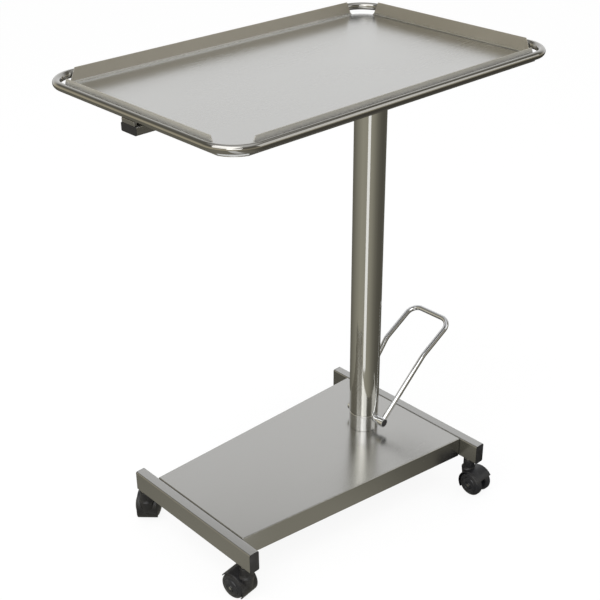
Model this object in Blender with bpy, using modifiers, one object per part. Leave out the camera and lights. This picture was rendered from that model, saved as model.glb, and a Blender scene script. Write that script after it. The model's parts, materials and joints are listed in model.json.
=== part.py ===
"""Instrument table: a lift-out tray on a foot-pumped telescopic column, over a castored base.

Metres, +Z up. The origin lies on the floor under the middle of the tray. +X runs along the tray
towards the column, and +Y towards the square long side of the base.
"""

import math

import bmesh
import bpy
from mathutils import Matrix, Vector

OBJECT_NAME = "instrument_table"

# Clearances
SEAT_GAP = 0.0003
RUNNING_GAP = 0.0005
CUT_MARGIN = 0.002

# Castors
WHEEL_DIAMETER = 0.048
WHEEL_WIDTH = 0.014
WHEEL_DOME = 0.005
WHEEL_EDGE = 0.003
WEB_THICKNESS = 0.010
WEB_RADIUS = 0.013
AXLE_DIAMETER = 0.006
AXLE_RECESS = 0.001
HOOD_WALL = 0.002
HOOD_CLEARANCE = 0.001
HOOD_TILT = math.radians(35)
CASTOR_TRAIL = 0.018
CASTOR_NECK = 0.0164
BOSS_DIAMETER = 0.022
STEM_PIN_DIAMETER = 0.008
STEM_PIN_LENGTH = 0.015
STEM_FLANGE_DIAMETER = 0.018
STEM_FLANGE_THICKNESS = 0.0015
STEM_THREAD_DIAMETER = 0.010
STEM_THREAD_LENGTH = 0.022
STEM_INSETS = {"near": 0.0235, "far": 0.0125}
CASTOR_TURNS = {
    "left_near": math.radians(97),
    "left_far": math.radians(45),
    "right_near": math.radians(-90),
    "right_far": math.radians(20),
}

# Base
BAR_HEIGHT = 0.040
BAR_WIDTH = 0.020
BAR_WALL = 0.0015
BAR_FAR_REACH = 0.183
LEFT_BAR_NEAR_REACH = 0.138
RIGHT_BAR_NEAR_REACH = 0.206
BAR_OVERHANG = 0.042
CAP_THICKNESS = 0.001
CAP_PLUG = 0.006
COVER_LENGTH = 0.493
COVER_SHEET = 0.0015
COLUMN_TO_RIGHT_BAR = 0.098

# Column
COLLAR_DIAMETER = 0.0566
COLLAR_HEIGHT = 0.034
INNER_TUBE_DIAMETER = 0.0483
INNER_TUBE_WALL = 0.003
SLEEVE_DIAMETER = 0.057
SLEEVE_WALL = 0.002
SLEEVE_LENGTH = 0.674
SLIDE_BUSH_LENGTH = 0.040
FOOT_PLUG_THICKNESS = 0.012
RAM_DIAMETER = 0.022
RAM_REST_GAP = 0.0008
PISTON_LENGTH = 0.025
GLAND_LENGTH = 0.030
GLAND_FLANGE = 0.004
HEAD_FLANGE = 0.005
HEAD_SPIGOT_LENGTH = 0.030
HEAD_SOCKET_DEPTH = 0.025
HEAD_REST_GAP = 0.0545
SWIVEL_PIN_DIAMETER = 0.020
SWIVEL_PIN_LENGTH = 0.0065
SADDLE_DIAMETER = 0.072
SADDLE_THICKNESS = 0.009

# Foot pump and pedal
PIVOT_HEIGHT = 0.0215
PIVOT_OFFSET = 0.007
SHAFT_DIAMETER = 0.010
SHAFT_BUSH_DIAMETER = 0.014
PEDAL_HALF_WIDTH = 0.0485
PEDAL_ROD_DIAMETER = 0.010
PEDAL_HUB_DIAMETER = 0.018
PEDAL_HUB_WIDTH = 0.012
PEDAL_HUB_OFFSETS = {"near": 0.0427, "far": 0.0367}
LOWER_ARM_LENGTH = 0.152
LOWER_ARM_ANGLE = math.radians(45.5)
UPPER_ARM_LENGTH = 0.090
UPPER_ARM_ANGLE = math.radians(30)
KNEE_RADIUS = 0.040
PEDAL_CORNER_RADIUS = 0.022
SHAFT_CAP_DIAMETER = 0.0146
SHAFT_CAP_THICKNESS = 0.0015
SHAFT_CAP_SPIGOT_DIAMETER = 0.005
SHAFT_CAP_SPIGOT_LENGTH = 0.006
CAM_HUB_DIAMETER = 0.013
CAM_WIDTH = 0.010
CAM_THROW = 0.0102
CAM_NOSE_DIAMETER = 0.006
CAM_REST_ANGLE = math.radians(15)
PLUNGER_ROD_DIAMETER = 0.006
PLUNGER_PISTON_DIAMETER = 0.012
PLUNGER_PISTON_LENGTH = 0.014
PLUNGER_PISTON_DROP = 0.002
PUMP_DIAMETER = 0.072
PUMP_FLANGE_DIAMETER = 0.092
PUMP_FLANGE_THICKNESS = 0.006
PUMP_DEPTH = 0.050
PUMP_BORE_DEPTH = 0.040
SPRING_WIRE_DIAMETER = 0.0014
SPRING_TURNS = 6

# Tray and its carrier
FRAME_LENGTH = 0.704
FRAME_WIDTH = 0.450
FRAME_TUBE_DIAMETER = 0.013
FRAME_CORNER_RADIUS = 0.057
TRAY_SHEET = 0.0015
TRAY_WALL_HEIGHT = 0.0238
TRAY_FLOOR_DROP = 0.0122
TRAY_SIDE_GAP = 0.002
TRAY_CORNER_GAP = 0.0005
TRAY_WALL_SLANT = 0.011
COLUMN_FROM_TRAY_CENTRE = 0.144
ARM_WIDTH = 0.035
ARM_HEIGHT = 0.0133
ARM_WALL = 0.0015
ARM_END_INSET = 0.004
CROSS_ARM_WIDTH = 0.025
CROSS_ARM_INSET = 0.075
PAD_THICKNESS = 0.005
PAD_WIDTH = 0.030

# Facets
LARGE_SIDES = 40
SMALL_SIDES = 20
WHEEL_SIDES = 26
CORNER_STEPS = 8
ROD_BEVEL = 4
SPRING_STEPS = 9

# Castor heights follow from the wheel, hood and neck
WHEEL_RADIUS = WHEEL_DIAMETER / 2
AXLE_HEIGHT = WHEEL_RADIUS * math.cos(math.pi / WHEEL_SIDES)
HOOD_INNER = WHEEL_RADIUS + HOOD_CLEARANCE
HOOD_OUTER = HOOD_INNER + HOOD_WALL
HOOD_WIDTH = WEB_THICKNESS + 2 * (RUNNING_GAP + WHEEL_WIDTH)
BOSS_TOP = AXLE_HEIGHT + HOOD_OUTER + CASTOR_NECK
STEM_FLANGE_FOOT = BOSS_TOP + RUNNING_GAP
BAR_FOOT = STEM_FLANGE_FOOT + STEM_FLANGE_THICKNESS + SEAT_GAP

# Base levels and places
DECK_TOP = BAR_FOOT + BAR_HEIGHT
DECK_UNDERSIDE = DECK_TOP - COVER_SHEET
COLUMN_X = COLUMN_FROM_TRAY_CENTRE
RIGHT_BAR_X = COLUMN_X + COLUMN_TO_RIGHT_BAR + BAR_WIDTH / 2
LEFT_BAR_X = RIGHT_BAR_X - COVER_LENGTH - BAR_WIDTH
NEAR_REACHES = {"left": LEFT_BAR_NEAR_REACH, "right": RIGHT_BAR_NEAR_REACH}
BAR_XS = {"left": LEFT_BAR_X, "right": RIGHT_BAR_X}

# Column levels
INNER_TUBE_FOOT = DECK_TOP + SEAT_GAP
INNER_TUBE_BORE = INNER_TUBE_DIAMETER - 2 * INNER_TUBE_WALL
COLLAR_FOOT = DECK_TOP + SEAT_GAP
COLLAR_TOP = COLLAR_FOOT + COLLAR_HEIGHT
SLEEVE_FOOT = COLLAR_TOP + RUNNING_GAP
SLEEVE_TOP = SLEEVE_FOOT + SLEEVE_LENGTH
SLEEVE_BORE = SLEEVE_DIAMETER - 2 * SLEEVE_WALL
HEAD_FOOT = SLEEVE_TOP + SEAT_GAP
HEAD_TOP = HEAD_FOOT + HEAD_FLANGE
HEAD_SPIGOT_FOOT = HEAD_FOOT - HEAD_SPIGOT_LENGTH
INNER_TUBE_TOP = HEAD_SPIGOT_FOOT - HEAD_REST_GAP - GLAND_FLANGE - SEAT_GAP
SADDLE_FOOT = HEAD_TOP + RUNNING_GAP
SADDLE_TOP = SADDLE_FOOT + SADDLE_THICKNESS

# Pedal and pump places
PIVOT_X = COLUMN_X + PIVOT_OFFSET
PIVOT_Z = DECK_TOP + PIVOT_HEIGHT
CAM_HUB_TOP = PIVOT_Z + CAM_HUB_DIAMETER / 2
FOOT_PLUG_FOOT = max(COLLAR_TOP, CAM_HUB_TOP) + RUNNING_GAP
FOOT_PLUG_TOP = FOOT_PLUG_FOOT + FOOT_PLUG_THICKNESS
CAM_NOSE_RISE = CAM_THROW * math.sin(CAM_REST_ANGLE)
PLUNGER_X = PIVOT_X + CAM_THROW * math.cos(CAM_REST_ANGLE)
PLUNGER_TOP = PIVOT_Z + CAM_NOSE_RISE - CAM_NOSE_DIAMETER / 2 - RUNNING_GAP
PUMP_TOP = DECK_UNDERSIDE - SEAT_GAP
PLUNGER_PISTON_TOP = PUMP_TOP - PLUNGER_PISTON_DROP
PLUNGER_FOOT = PLUNGER_PISTON_TOP - PLUNGER_PISTON_LENGTH
PUMP_BORE_FOOT = PUMP_TOP - PUMP_BORE_DEPTH

# Carrier and tray levels
ARM_FOOT = SADDLE_TOP + SEAT_GAP
ARM_TOP = ARM_FOOT + ARM_HEIGHT
TRAY_UNDERSIDE = ARM_TOP + SEAT_GAP
TRAY_FLOOR = TRAY_UNDERSIDE + TRAY_SHEET
FRAME_Z = TRAY_FLOOR + TRAY_FLOOR_DROP
FRAME_TUBE_RADIUS = FRAME_TUBE_DIAMETER / 2
ARM_END = FRAME_LENGTH / 2 - ARM_END_INSET
CROSS_ARM_REACH = FRAME_WIDTH / 2 - CROSS_ARM_INSET


def clear_scene():
    for obj in list(bpy.data.objects):
        bpy.data.objects.remove(obj, do_unlink=True)


def new_collection(name):
    collection = bpy.data.collections.new(name)
    bpy.context.scene.collection.children.link(collection)
    return collection


def new_surface(name, colour, roughness, metallic):
    surface = bpy.data.materials.new(name)
    surface.use_nodes = True
    shader = surface.node_tree.nodes["Principled BSDF"]
    shader.inputs["Base Color"].default_value = (*colour, 1)
    shader.inputs["Roughness"].default_value = roughness
    shader.inputs["Metallic"].default_value = metallic
    return surface


clear_scene()
PARTS = new_collection(OBJECT_NAME)
CUTTERS = new_collection(OBJECT_NAME + "_cutters")
SATIN_STEEL = new_surface("satin_steel", (0.56, 0.56, 0.54), 0.35, 1.0)
TRAY_STEEL = new_surface("tray_steel", (0.66, 0.66, 0.64), 0.30, 1.0)
POLISHED_STEEL = new_surface("polished_steel", (0.72, 0.71, 0.68), 0.08, 1.0)
CHROME = new_surface("chrome", (0.80, 0.80, 0.80), 0.05, 1.0)
MACHINED_STEEL = new_surface("machined_steel", (0.48, 0.48, 0.47), 0.40, 1.0)
CAST_HOUSING = new_surface("cast_housing", (0.22, 0.23, 0.24), 0.55, 0.6)
BRONZE = new_surface("bronze", (0.52, 0.34, 0.16), 0.40, 1.0)
BLACK_PLASTIC = new_surface("black_plastic", (0.02, 0.02, 0.022), 0.45, 0.0)
WHEEL_PLASTIC = new_surface("wheel_plastic", (0.03, 0.03, 0.036), 0.38, 0.0)
BUSH_PLASTIC = new_surface("bush_plastic", (0.78, 0.78, 0.74), 0.50, 0.0)


def add_empty(name, location, turn=0.0):
    """A joint's place: its pieces are parented to it."""
    empty = bpy.data.objects.new(name, None)
    empty.location = location
    empty.rotation_euler = (0, 0, turn)
    PARTS.objects.link(empty)
    return empty


def add_object(name, data, surface, location=(0, 0, 0), parent=None):
    obj = bpy.data.objects.new(name, data)
    obj.location = location
    obj.parent = parent
    if surface is None:
        CUTTERS.objects.link(obj)
        obj.hide_render = True
        obj.display_type = "WIRE"
        return obj
    if not data.materials:
        data.materials.append(surface)
    PARTS.objects.link(obj)
    return obj


def mesh_of(bm, name):
    bmesh.ops.recalc_face_normals(bm, faces=bm.faces)
    mesh = bpy.data.meshes.new(name)
    bm.to_mesh(mesh)
    bm.free()
    return mesh


def box_mesh(name, size, centre=(0, 0, 0)):
    bm = bmesh.new()
    bmesh.ops.create_cube(bm, size=1, matrix=Matrix.Diagonal((*size, 1)))
    bmesh.ops.translate(bm, verts=bm.verts, vec=centre)
    return mesh_of(bm, name)


def cylinder_mesh(name, radius, length, sides=SMALL_SIDES, axis="Z"):
    """A solid cylinder centred on its origin."""
    bm = bmesh.new()
    turn = {"X": Matrix.Rotation(math.pi / 2, 4, "Y"), "Y": Matrix.Rotation(math.pi / 2, 4, "X")}
    bmesh.ops.create_cone(
        bm,
        cap_ends=True,
        segments=sides,
        radius1=radius,
        radius2=radius,
        depth=length,
        matrix=turn.get(axis, Matrix.Identity(4)),
    )
    return mesh_of(bm, name)


def add_turned(name, profile, surface, location=(0, 0, 0), parent=None, sides=LARGE_SIDES):
    """A solid of revolution about Z. The profile runs down its outer side, and closes on itself
    unless it starts and ends on the axis."""
    on_axis = profile[0][0] == 0 and profile[-1][0] == 0
    count = len(profile)
    edges = [(i, (i + 1) % count) for i in range(count - 1 if on_axis else count)]
    mesh = bpy.data.meshes.new(name)
    mesh.from_pydata([(radius, 0, height) for radius, height in profile], edges, [])
    obj = add_object(name, mesh, surface, location, parent)
    screw = obj.modifiers.new("Turn", "SCREW")
    screw.steps = sides
    screw.render_steps = sides
    screw.use_merge_vertices = True
    screw.merge_threshold = 0.00001
    screw.use_smooth_shade = True
    return obj


def ring_profile(outer, inner, top, foot):
    return [(outer, top), (outer, foot), (inner, foot), (inner, top)]


def combine(obj, other, operation):
    boolean = obj.modifiers.new(operation.title(), "BOOLEAN")
    boolean.operation = operation
    boolean.object = other


def cut(obj, cutter):
    combine(obj, cutter, "DIFFERENCE")


def cutting_cylinder(name, diameter, length, location, axis, parent=None, sides=SMALL_SIDES):
    mesh = cylinder_mesh(name, diameter / 2, length, sides, axis)
    return add_object(name, mesh, None, location, parent)


def baked(obj, name):
    """The object's mesh with its modifiers and its place applied."""
    bpy.context.view_layer.update()
    graph = bpy.context.evaluated_depsgraph_get()
    mesh = bpy.data.meshes.new_from_object(obj.evaluated_get(graph))
    mesh.name = name
    mesh.transform(obj.matrix_world)
    bm = bmesh.new()
    bm.from_mesh(mesh)
    bmesh.ops.remove_doubles(bm, verts=bm.verts, dist=0.000001)
    bm.to_mesh(mesh)
    bm.free()
    return mesh


def rounded_rectangle(length, width, radius, side_cut=0):
    """Points round a rectangle with arcs at its corners, anticlockwise from the +X side.

    A side cut moves the straight sides in by that much, so that they run further into the arcs."""
    skip = math.acos(1 - side_cut / radius)
    points = []
    for quarter, (side_x, side_y) in enumerate(((1, 1), (-1, 1), (-1, -1), (1, -1))):
        centre = Vector((side_x * (length / 2 - radius), side_y * (width / 2 - radius)))
        for step in range(CORNER_STEPS + 1):
            share = step / CORNER_STEPS
            angle = quarter * math.pi / 2 + skip + share * (math.pi / 2 - 2 * skip)
            points.append(centre + radius * Vector((math.cos(angle), math.sin(angle))))
    return points


def filleted(corners, radii):
    """A path through the corners with an arc of the given radius at each inner one."""
    path = [corners[0]]
    for before, corner, after, radius in zip(corners, corners[1:], corners[2:], radii):
        back = (before - corner).normalized()
        ahead = (after - corner).normalized()
        half_angle = back.angle(ahead) / 2
        reach = radius / math.tan(half_angle)
        centre = corner + (back + ahead).normalized() * radius / math.sin(half_angle)
        start = corner + back * reach - centre
        axis = start.cross(corner + ahead * reach - centre).normalized()
        for step in range(CORNER_STEPS + 1):
            turn = Matrix.Rotation((math.pi - 2 * half_angle) * step / CORNER_STEPS, 3, axis)
            path.append(centre + turn @ start)
    path.append(corners[-1])
    return path


def rod_curve(name, points, diameter, bevel, closed=False):
    curve = bpy.data.curves.new(name, "CURVE")
    curve.dimensions = "3D"
    curve.bevel_depth = diameter / 2
    curve.bevel_resolution = bevel
    curve.use_fill_caps = not closed
    spline = curve.splines.new("POLY")
    spline.points.add(len(points) - 1)
    for spline_point, point in zip(spline.points, points):
        spline_point.co = (*point, 1)
    spline.use_cyclic_u = closed
    return curve


def add_square_tube(name, size, wall, centre, surface, along, parent=None):
    """A rectangular tube, open at both ends, along X or Y."""
    obj = add_object(name, box_mesh(name, size), surface, centre, parent)
    hollow = [side - 2 * wall for side in size]
    hollow["XY".index(along)] = size["XY".index(along)] + 2 * CUT_MARGIN
    cut(obj, add_object(name + "_hollow", box_mesh(name + "_hollow", hollow), None, centre, parent))
    return obj


def add_tube_cap(name, width, height, wall, place, outward, surface, parent=None):
    """A plastic plug for a tube's end: a plate over the end and a stub that fills its mouth.
    place is the middle of the plate's outer face, and outward its horizontal normal."""
    plate = (width, CAP_THICKNESS, height)
    bm = bmesh.new()
    bmesh.ops.create_cube(bm, size=1, matrix=Matrix.Diagonal((*plate, 1)))
    bmesh.ops.translate(bm, verts=bm.verts, vec=(0, CAP_THICKNESS / 2, 0))
    bm.faces.ensure_lookup_table()
    inner = max(bm.faces, key=lambda face: face.calc_center_median().y)
    bmesh.ops.inset_region(
        bm, faces=[inner], thickness=wall + SEAT_GAP, use_boundary=True, use_even_offset=True
    )
    stub = bmesh.ops.extrude_face_region(bm, geom=[inner])
    moved = [item for item in stub["geom"] if isinstance(item, bmesh.types.BMVert)]
    bmesh.ops.translate(bm, verts=moved, vec=(0, CAP_PLUG, 0))
    bmesh.ops.delete(bm, geom=[inner], context="FACES")
    obj = add_object(name, mesh_of(bm, name), surface, place, parent)
    obj.rotation_euler = (0, 0, math.atan2(outward[1], outward[0]) + math.pi / 2)
    return obj


def wheel_profile():
    """Half-section of a wheel: flat inner face at height 0, rounded tread and domed outer face."""
    bore = AXLE_DIAMETER / 2 + SEAT_GAP
    rim = WHEEL_RADIUS - WHEEL_EDGE
    dome_steps = 4
    profile = []
    for step in range(dome_steps + 1):
        radius = bore + (rim - bore) * step / dome_steps
        fall = (radius / rim) ** 2 - (bore / rim) ** 2
        profile.append((radius, WHEEL_WIDTH + WHEEL_DOME * (1 - fall)))
    profile += [(WHEEL_RADIUS, WHEEL_WIDTH - WHEEL_EDGE), (WHEEL_RADIUS, WHEEL_EDGE)]
    profile += [(rim, 0), (bore, 0)]
    return profile


def hood_mesh():
    """The castor's body in its own frame: stem on Z, axle along Y at the trail."""
    axle = (CASTOR_TRAIL, 0, AXLE_HEIGHT)
    hood = add_object("hood", cylinder_mesh("hood", HOOD_OUTER, HOOD_WIDTH, LARGE_SIDES, "Y"), None, axle)
    helpers = []
    reach = 4 * HOOD_OUTER
    below = add_object("hood_below", box_mesh("hood_below", (reach,) * 3, (0, 0, -reach / 2)), None, axle)
    below.rotation_euler = (0, -HOOD_TILT, 0)
    web_width = WEB_THICKNESS - 2 * RUNNING_GAP
    web = cutting_cylinder("hood_web", 2 * WEB_RADIUS, web_width, axle, "Y")
    boss_height = BOSS_TOP - AXLE_HEIGHT
    boss_place = (0, 0, AXLE_HEIGHT + boss_height / 2)
    boss = cutting_cylinder("hood_boss", BOSS_DIAMETER, boss_height, boss_place, "Z", sides=LARGE_SIDES)
    helpers += [below, web, boss]
    cut(hood, below)
    combine(hood, web, "UNION")
    combine(hood, boss, "UNION")
    space = HOOD_WIDTH
    for side in (-1, 1):
        place = (CASTOR_TRAIL, side * (WEB_THICKNESS / 2 + space / 2), AXLE_HEIGHT)
        room = cutting_cylinder("hood_room", 2 * HOOD_INNER, space, place, "Y", sides=LARGE_SIDES)
        cut(hood, room)
        helpers.append(room)
    axle_bore = cutting_cylinder("hood_axle_bore", AXLE_DIAMETER + 2 * SEAT_GAP, HOOD_WIDTH, axle, "Y")
    bore_depth = STEM_PIN_LENGTH + RUNNING_GAP
    pin_bore = cutting_cylinder(
        "hood_pin_bore",
        STEM_PIN_DIAMETER + 2 * SEAT_GAP,
        bore_depth + CUT_MARGIN,
        (0, 0, BOSS_TOP + (CUT_MARGIN - bore_depth) / 2),
        "Z",
    )
    cut(hood, axle_bore)
    cut(hood, pin_bore)
    helpers += [axle_bore, pin_bore, hood]
    mesh = baked(hood, "castor_hood")
    for helper in helpers:
        bpy.data.objects.remove(helper, do_unlink=True)
    mesh.materials.clear()
    return mesh


def stem_profile():
    thread_top = BAR_FOOT + STEM_THREAD_LENGTH
    flange_top = BAR_FOOT - SEAT_GAP
    pin_radius = STEM_PIN_DIAMETER / 2
    return [
        (0, thread_top),
        (STEM_THREAD_DIAMETER / 2, thread_top),
        (STEM_THREAD_DIAMETER / 2, flange_top),
        (STEM_FLANGE_DIAMETER / 2, flange_top),
        (STEM_FLANGE_DIAMETER / 2, STEM_FLANGE_FOOT),
        (pin_radius, STEM_FLANGE_FOOT),
        (pin_radius, BOSS_TOP - STEM_PIN_LENGTH),
        (0, BOSS_TOP - STEM_PIN_LENGTH),
    ]


def castor_place(corner):
    side, end = corner.split("_")
    reach = BAR_FAR_REACH if end == "far" else -NEAR_REACHES[side]
    inward = -1 if end == "far" else 1
    return BAR_XS[side], reach + inward * STEM_INSETS[end]


def make_castors():
    hood = hood_mesh()
    outer_face = WEB_THICKNESS / 2 + RUNNING_GAP + WHEEL_WIDTH + WHEEL_DOME
    axle_length = 2 * (outer_face - AXLE_RECESS)
    axle_mesh = cylinder_mesh("castor_axle", AXLE_DIAMETER / 2, axle_length, SMALL_SIDES, "Y")
    axle_place = (CASTOR_TRAIL, 0, AXLE_HEIGHT)
    for corner, turn in CASTOR_TURNS.items():
        x, y = castor_place(corner)
        swivel = add_empty(corner + "_swivel", (x, y, 0), turn)
        add_turned(corner + "_stem", stem_profile(), MACHINED_STEEL, (x, y, 0), sides=SMALL_SIDES)
        add_object(corner + "_hood", hood, BLACK_PLASTIC, parent=swivel)
        add_object(corner + "_axle", axle_mesh, MACHINED_STEEL, axle_place, swivel)
        for name, side in (("a", 1), ("b", -1)):
            inner_face = side * (WEB_THICKNESS / 2 + RUNNING_GAP)
            place = (CASTOR_TRAIL, inner_face, AXLE_HEIGHT)
            wheel = add_turned(
                f"{corner}_wheel_{name}", wheel_profile(), WHEEL_PLASTIC, place, swivel, WHEEL_SIDES
            )
            lay_down = Matrix.Rotation(-side * math.pi / 2, 3, "X")
            half_facet = Matrix.Rotation(math.pi / WHEEL_SIDES + math.pi / 2, 3, "Z")
            wheel.rotation_euler = (lay_down @ half_facet).to_euler()


def make_bars():
    for side, x in BAR_XS.items():
        far_end = BAR_FAR_REACH
        near_end = -NEAR_REACHES[side]
        inset = CAP_THICKNESS + SEAT_GAP
        length = far_end - near_end - 2 * inset
        middle = (far_end + near_end) / 2
        height = DECK_TOP - BAR_HEIGHT / 2
        size = (BAR_WIDTH, length, BAR_HEIGHT)
        bar = add_square_tube(side + "_bar", size, BAR_WALL, (x, middle, height), SATIN_STEEL, "Y")
        for end, y, outward in (("far", far_end, 1), ("near", near_end, -1)):
            corner = f"{side}_{end}"
            add_tube_cap(
                corner + "_bar_cap",
                BAR_WIDTH,
                BAR_HEIGHT,
                BAR_WALL,
                (x, y, height),
                (0, outward),
                BLACK_PLASTIC,
            )
            stem_x, stem_y = castor_place(corner)
            hole = cutting_cylinder(
                corner + "_stem_hole",
                STEM_THREAD_DIAMETER + 2 * SEAT_GAP,
                BAR_WALL + 2 * CUT_MARGIN,
                (stem_x, stem_y, BAR_FOOT + BAR_WALL / 2),
                "Z",
            )
            cut(bar, hole)


def make_cover():
    """A folded sheet lid between the bars, square on the far side and flared on the near side."""
    left = LEFT_BAR_X + BAR_WIDTH / 2 + SEAT_GAP
    right = RIGHT_BAR_X - BAR_WIDTH / 2 - SEAT_GAP
    far = BAR_FAR_REACH - BAR_OVERHANG
    corners = [
        (left, far),
        (left, BAR_OVERHANG - LEFT_BAR_NEAR_REACH),
        (right, BAR_OVERHANG - RIGHT_BAR_NEAR_REACH),
        (right, far),
    ]
    bm = bmesh.new()
    top = bm.faces.new([bm.verts.new((x, y, DECK_TOP)) for x, y in corners])
    skirt = bmesh.ops.extrude_edge_only(bm, edges=list(top.edges))
    lowered = [item for item in skirt["geom"] if isinstance(item, bmesh.types.BMVert)]
    bmesh.ops.translate(bm, verts=lowered, vec=(0, 0, -BAR_HEIGHT))
    cover = add_object("base_cover", mesh_of(bm, "base_cover"), SATIN_STEEL)
    shell = cover.modifiers.new("Sheet", "SOLIDIFY")
    shell.thickness = COVER_SHEET
    shell.offset = -1
    shell.use_even_offset = True
    place = (COLUMN_X, 0, DECK_TOP)
    hole_length = COVER_SHEET * 2 + 2 * CUT_MARGIN
    cut(cover, cutting_cylinder("cover_hole", INNER_TUBE_BORE, hole_length, place, "Z", sides=LARGE_SIDES))


def make_column():
    post = (COLUMN_X, 0, 0)
    tube_radius = INNER_TUBE_DIAMETER / 2
    bore_radius = INNER_TUBE_BORE / 2
    collar_bore = tube_radius + SEAT_GAP
    pivot = (PIVOT_X, 0, PIVOT_Z)
    collar_section = ring_profile(COLLAR_DIAMETER / 2, collar_bore, COLLAR_TOP, COLLAR_FOOT)
    collar = add_turned("post_collar", collar_section, SATIN_STEEL, post)
    bush_hole = SHAFT_BUSH_DIAMETER + 2 * SEAT_GAP
    across = COLLAR_DIAMETER + 2 * CUT_MARGIN
    cut(collar, cutting_cylinder("collar_shaft_hole", bush_hole, across, pivot, "Y"))
    tube_section = ring_profile(tube_radius, bore_radius, INNER_TUBE_TOP, INNER_TUBE_FOOT)
    tube = add_turned("inner_column", tube_section, CHROME, post)
    shaft_room = SHAFT_DIAMETER + 2 * CUT_MARGIN
    cut(tube, cutting_cylinder("column_shaft_hole", shaft_room, across, pivot, "Y"))
    plug_radius = bore_radius - SEAT_GAP
    plug = [
        (0, FOOT_PLUG_TOP),
        (plug_radius, FOOT_PLUG_TOP),
        (plug_radius, FOOT_PLUG_FOOT),
        (0, FOOT_PLUG_FOOT),
    ]
    add_turned("column_foot_plug", plug, MACHINED_STEEL, post)
    flange_foot = INNER_TUBE_TOP + SEAT_GAP
    gland = [
        (tube_radius, flange_foot + GLAND_FLANGE),
        (tube_radius, flange_foot),
        (plug_radius, flange_foot),
        (plug_radius, flange_foot - GLAND_LENGTH),
        (RAM_DIAMETER / 2 + SEAT_GAP, flange_foot - GLAND_LENGTH),
        (RAM_DIAMETER / 2 + SEAT_GAP, flange_foot + GLAND_FLANGE),
    ]
    add_turned("column_gland", gland, BRONZE, post)


def make_carriage():
    post = (COLUMN_X, 0, 0)
    lift = add_empty("column_lift", post)
    sleeve_radius = SLEEVE_DIAMETER / 2
    bore_radius = SLEEVE_BORE / 2
    sleeve_section = ring_profile(sleeve_radius, bore_radius, SLEEVE_TOP, SLEEVE_FOOT)
    add_turned("post_sleeve", sleeve_section, POLISHED_STEEL, parent=lift)
    bush_top = SLEEVE_FOOT + SLIDE_BUSH_LENGTH
    bush_bore = INNER_TUBE_DIAMETER / 2 + SEAT_GAP
    bush_section = ring_profile(bore_radius - SEAT_GAP, bush_bore, bush_top, SLEEVE_FOOT)
    add_turned("slide_bush", bush_section, BUSH_PLASTIC, parent=lift)
    ram_radius = RAM_DIAMETER / 2
    ram_foot = FOOT_PLUG_TOP + RAM_REST_GAP
    socket_end = HEAD_SPIGOT_FOOT + HEAD_SOCKET_DEPTH
    ram_top = socket_end - SEAT_GAP
    ram = [(0, ram_top), (ram_radius, ram_top), (ram_radius, ram_foot), (0, ram_foot)]
    add_turned("lift_ram", ram, CHROME, parent=lift, sides=SMALL_SIDES)
    piston = ring_profile(
        INNER_TUBE_BORE / 2 - SEAT_GAP, ram_radius + SEAT_GAP, ram_foot + PISTON_LENGTH, ram_foot
    )
    add_turned("ram_piston", piston, MACHINED_STEEL, parent=lift)
    pin_radius = SWIVEL_PIN_DIAMETER / 2
    head = [
        (0, HEAD_TOP + SWIVEL_PIN_LENGTH),
        (pin_radius, HEAD_TOP + SWIVEL_PIN_LENGTH),
        (pin_radius, HEAD_TOP),
        (sleeve_radius, HEAD_TOP),
        (sleeve_radius, HEAD_FOOT),
        (bore_radius - SEAT_GAP, HEAD_FOOT),
        (bore_radius - SEAT_GAP, HEAD_SPIGOT_FOOT),
        (ram_radius + SEAT_GAP, HEAD_SPIGOT_FOOT),
        (ram_radius + SEAT_GAP, socket_end),
        (0, socket_end),
    ]
    add_turned("column_head", head, MACHINED_STEEL, parent=lift)


def make_pump():
    well = (PLUNGER_X, 0, 0)
    post = (COLUMN_X, 0, 0)
    body_radius = PUMP_DIAMETER / 2
    flange_radius = PUMP_FLANGE_DIAMETER / 2
    section = [
        (0, PUMP_TOP),
        (flange_radius, PUMP_TOP),
        (flange_radius, PUMP_TOP - PUMP_FLANGE_THICKNESS),
        (body_radius, PUMP_TOP - PUMP_FLANGE_THICKNESS),
        (body_radius, PUMP_TOP - PUMP_DEPTH),
        (0, PUMP_TOP - PUMP_DEPTH),
    ]
    pump = add_turned("pump_body", section, CAST_HOUSING, post)
    bore_diameter = PLUNGER_PISTON_DIAMETER + 2 * SEAT_GAP
    bore_place = (PLUNGER_X, 0, (PUMP_TOP + CUT_MARGIN + PUMP_BORE_FOOT) / 2)
    bore_length = PUMP_TOP + CUT_MARGIN - PUMP_BORE_FOOT
    cut(pump, cutting_cylinder("pump_bore", bore_diameter, bore_length, bore_place, "Z"))
    rod_radius = PLUNGER_ROD_DIAMETER / 2
    piston_radius = PLUNGER_PISTON_DIAMETER / 2
    plunger = [
        (0, PLUNGER_TOP),
        (rod_radius, PLUNGER_TOP),
        (rod_radius, PLUNGER_PISTON_TOP),
        (piston_radius, PLUNGER_PISTON_TOP),
        (piston_radius, PLUNGER_FOOT),
        (0, PLUNGER_FOOT),
    ]
    slide = add_empty("plunger_slide", well)
    add_turned("pump_plunger", plunger, MACHINED_STEEL, parent=slide, sides=SMALL_SIDES)
    make_spring(well)


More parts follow.
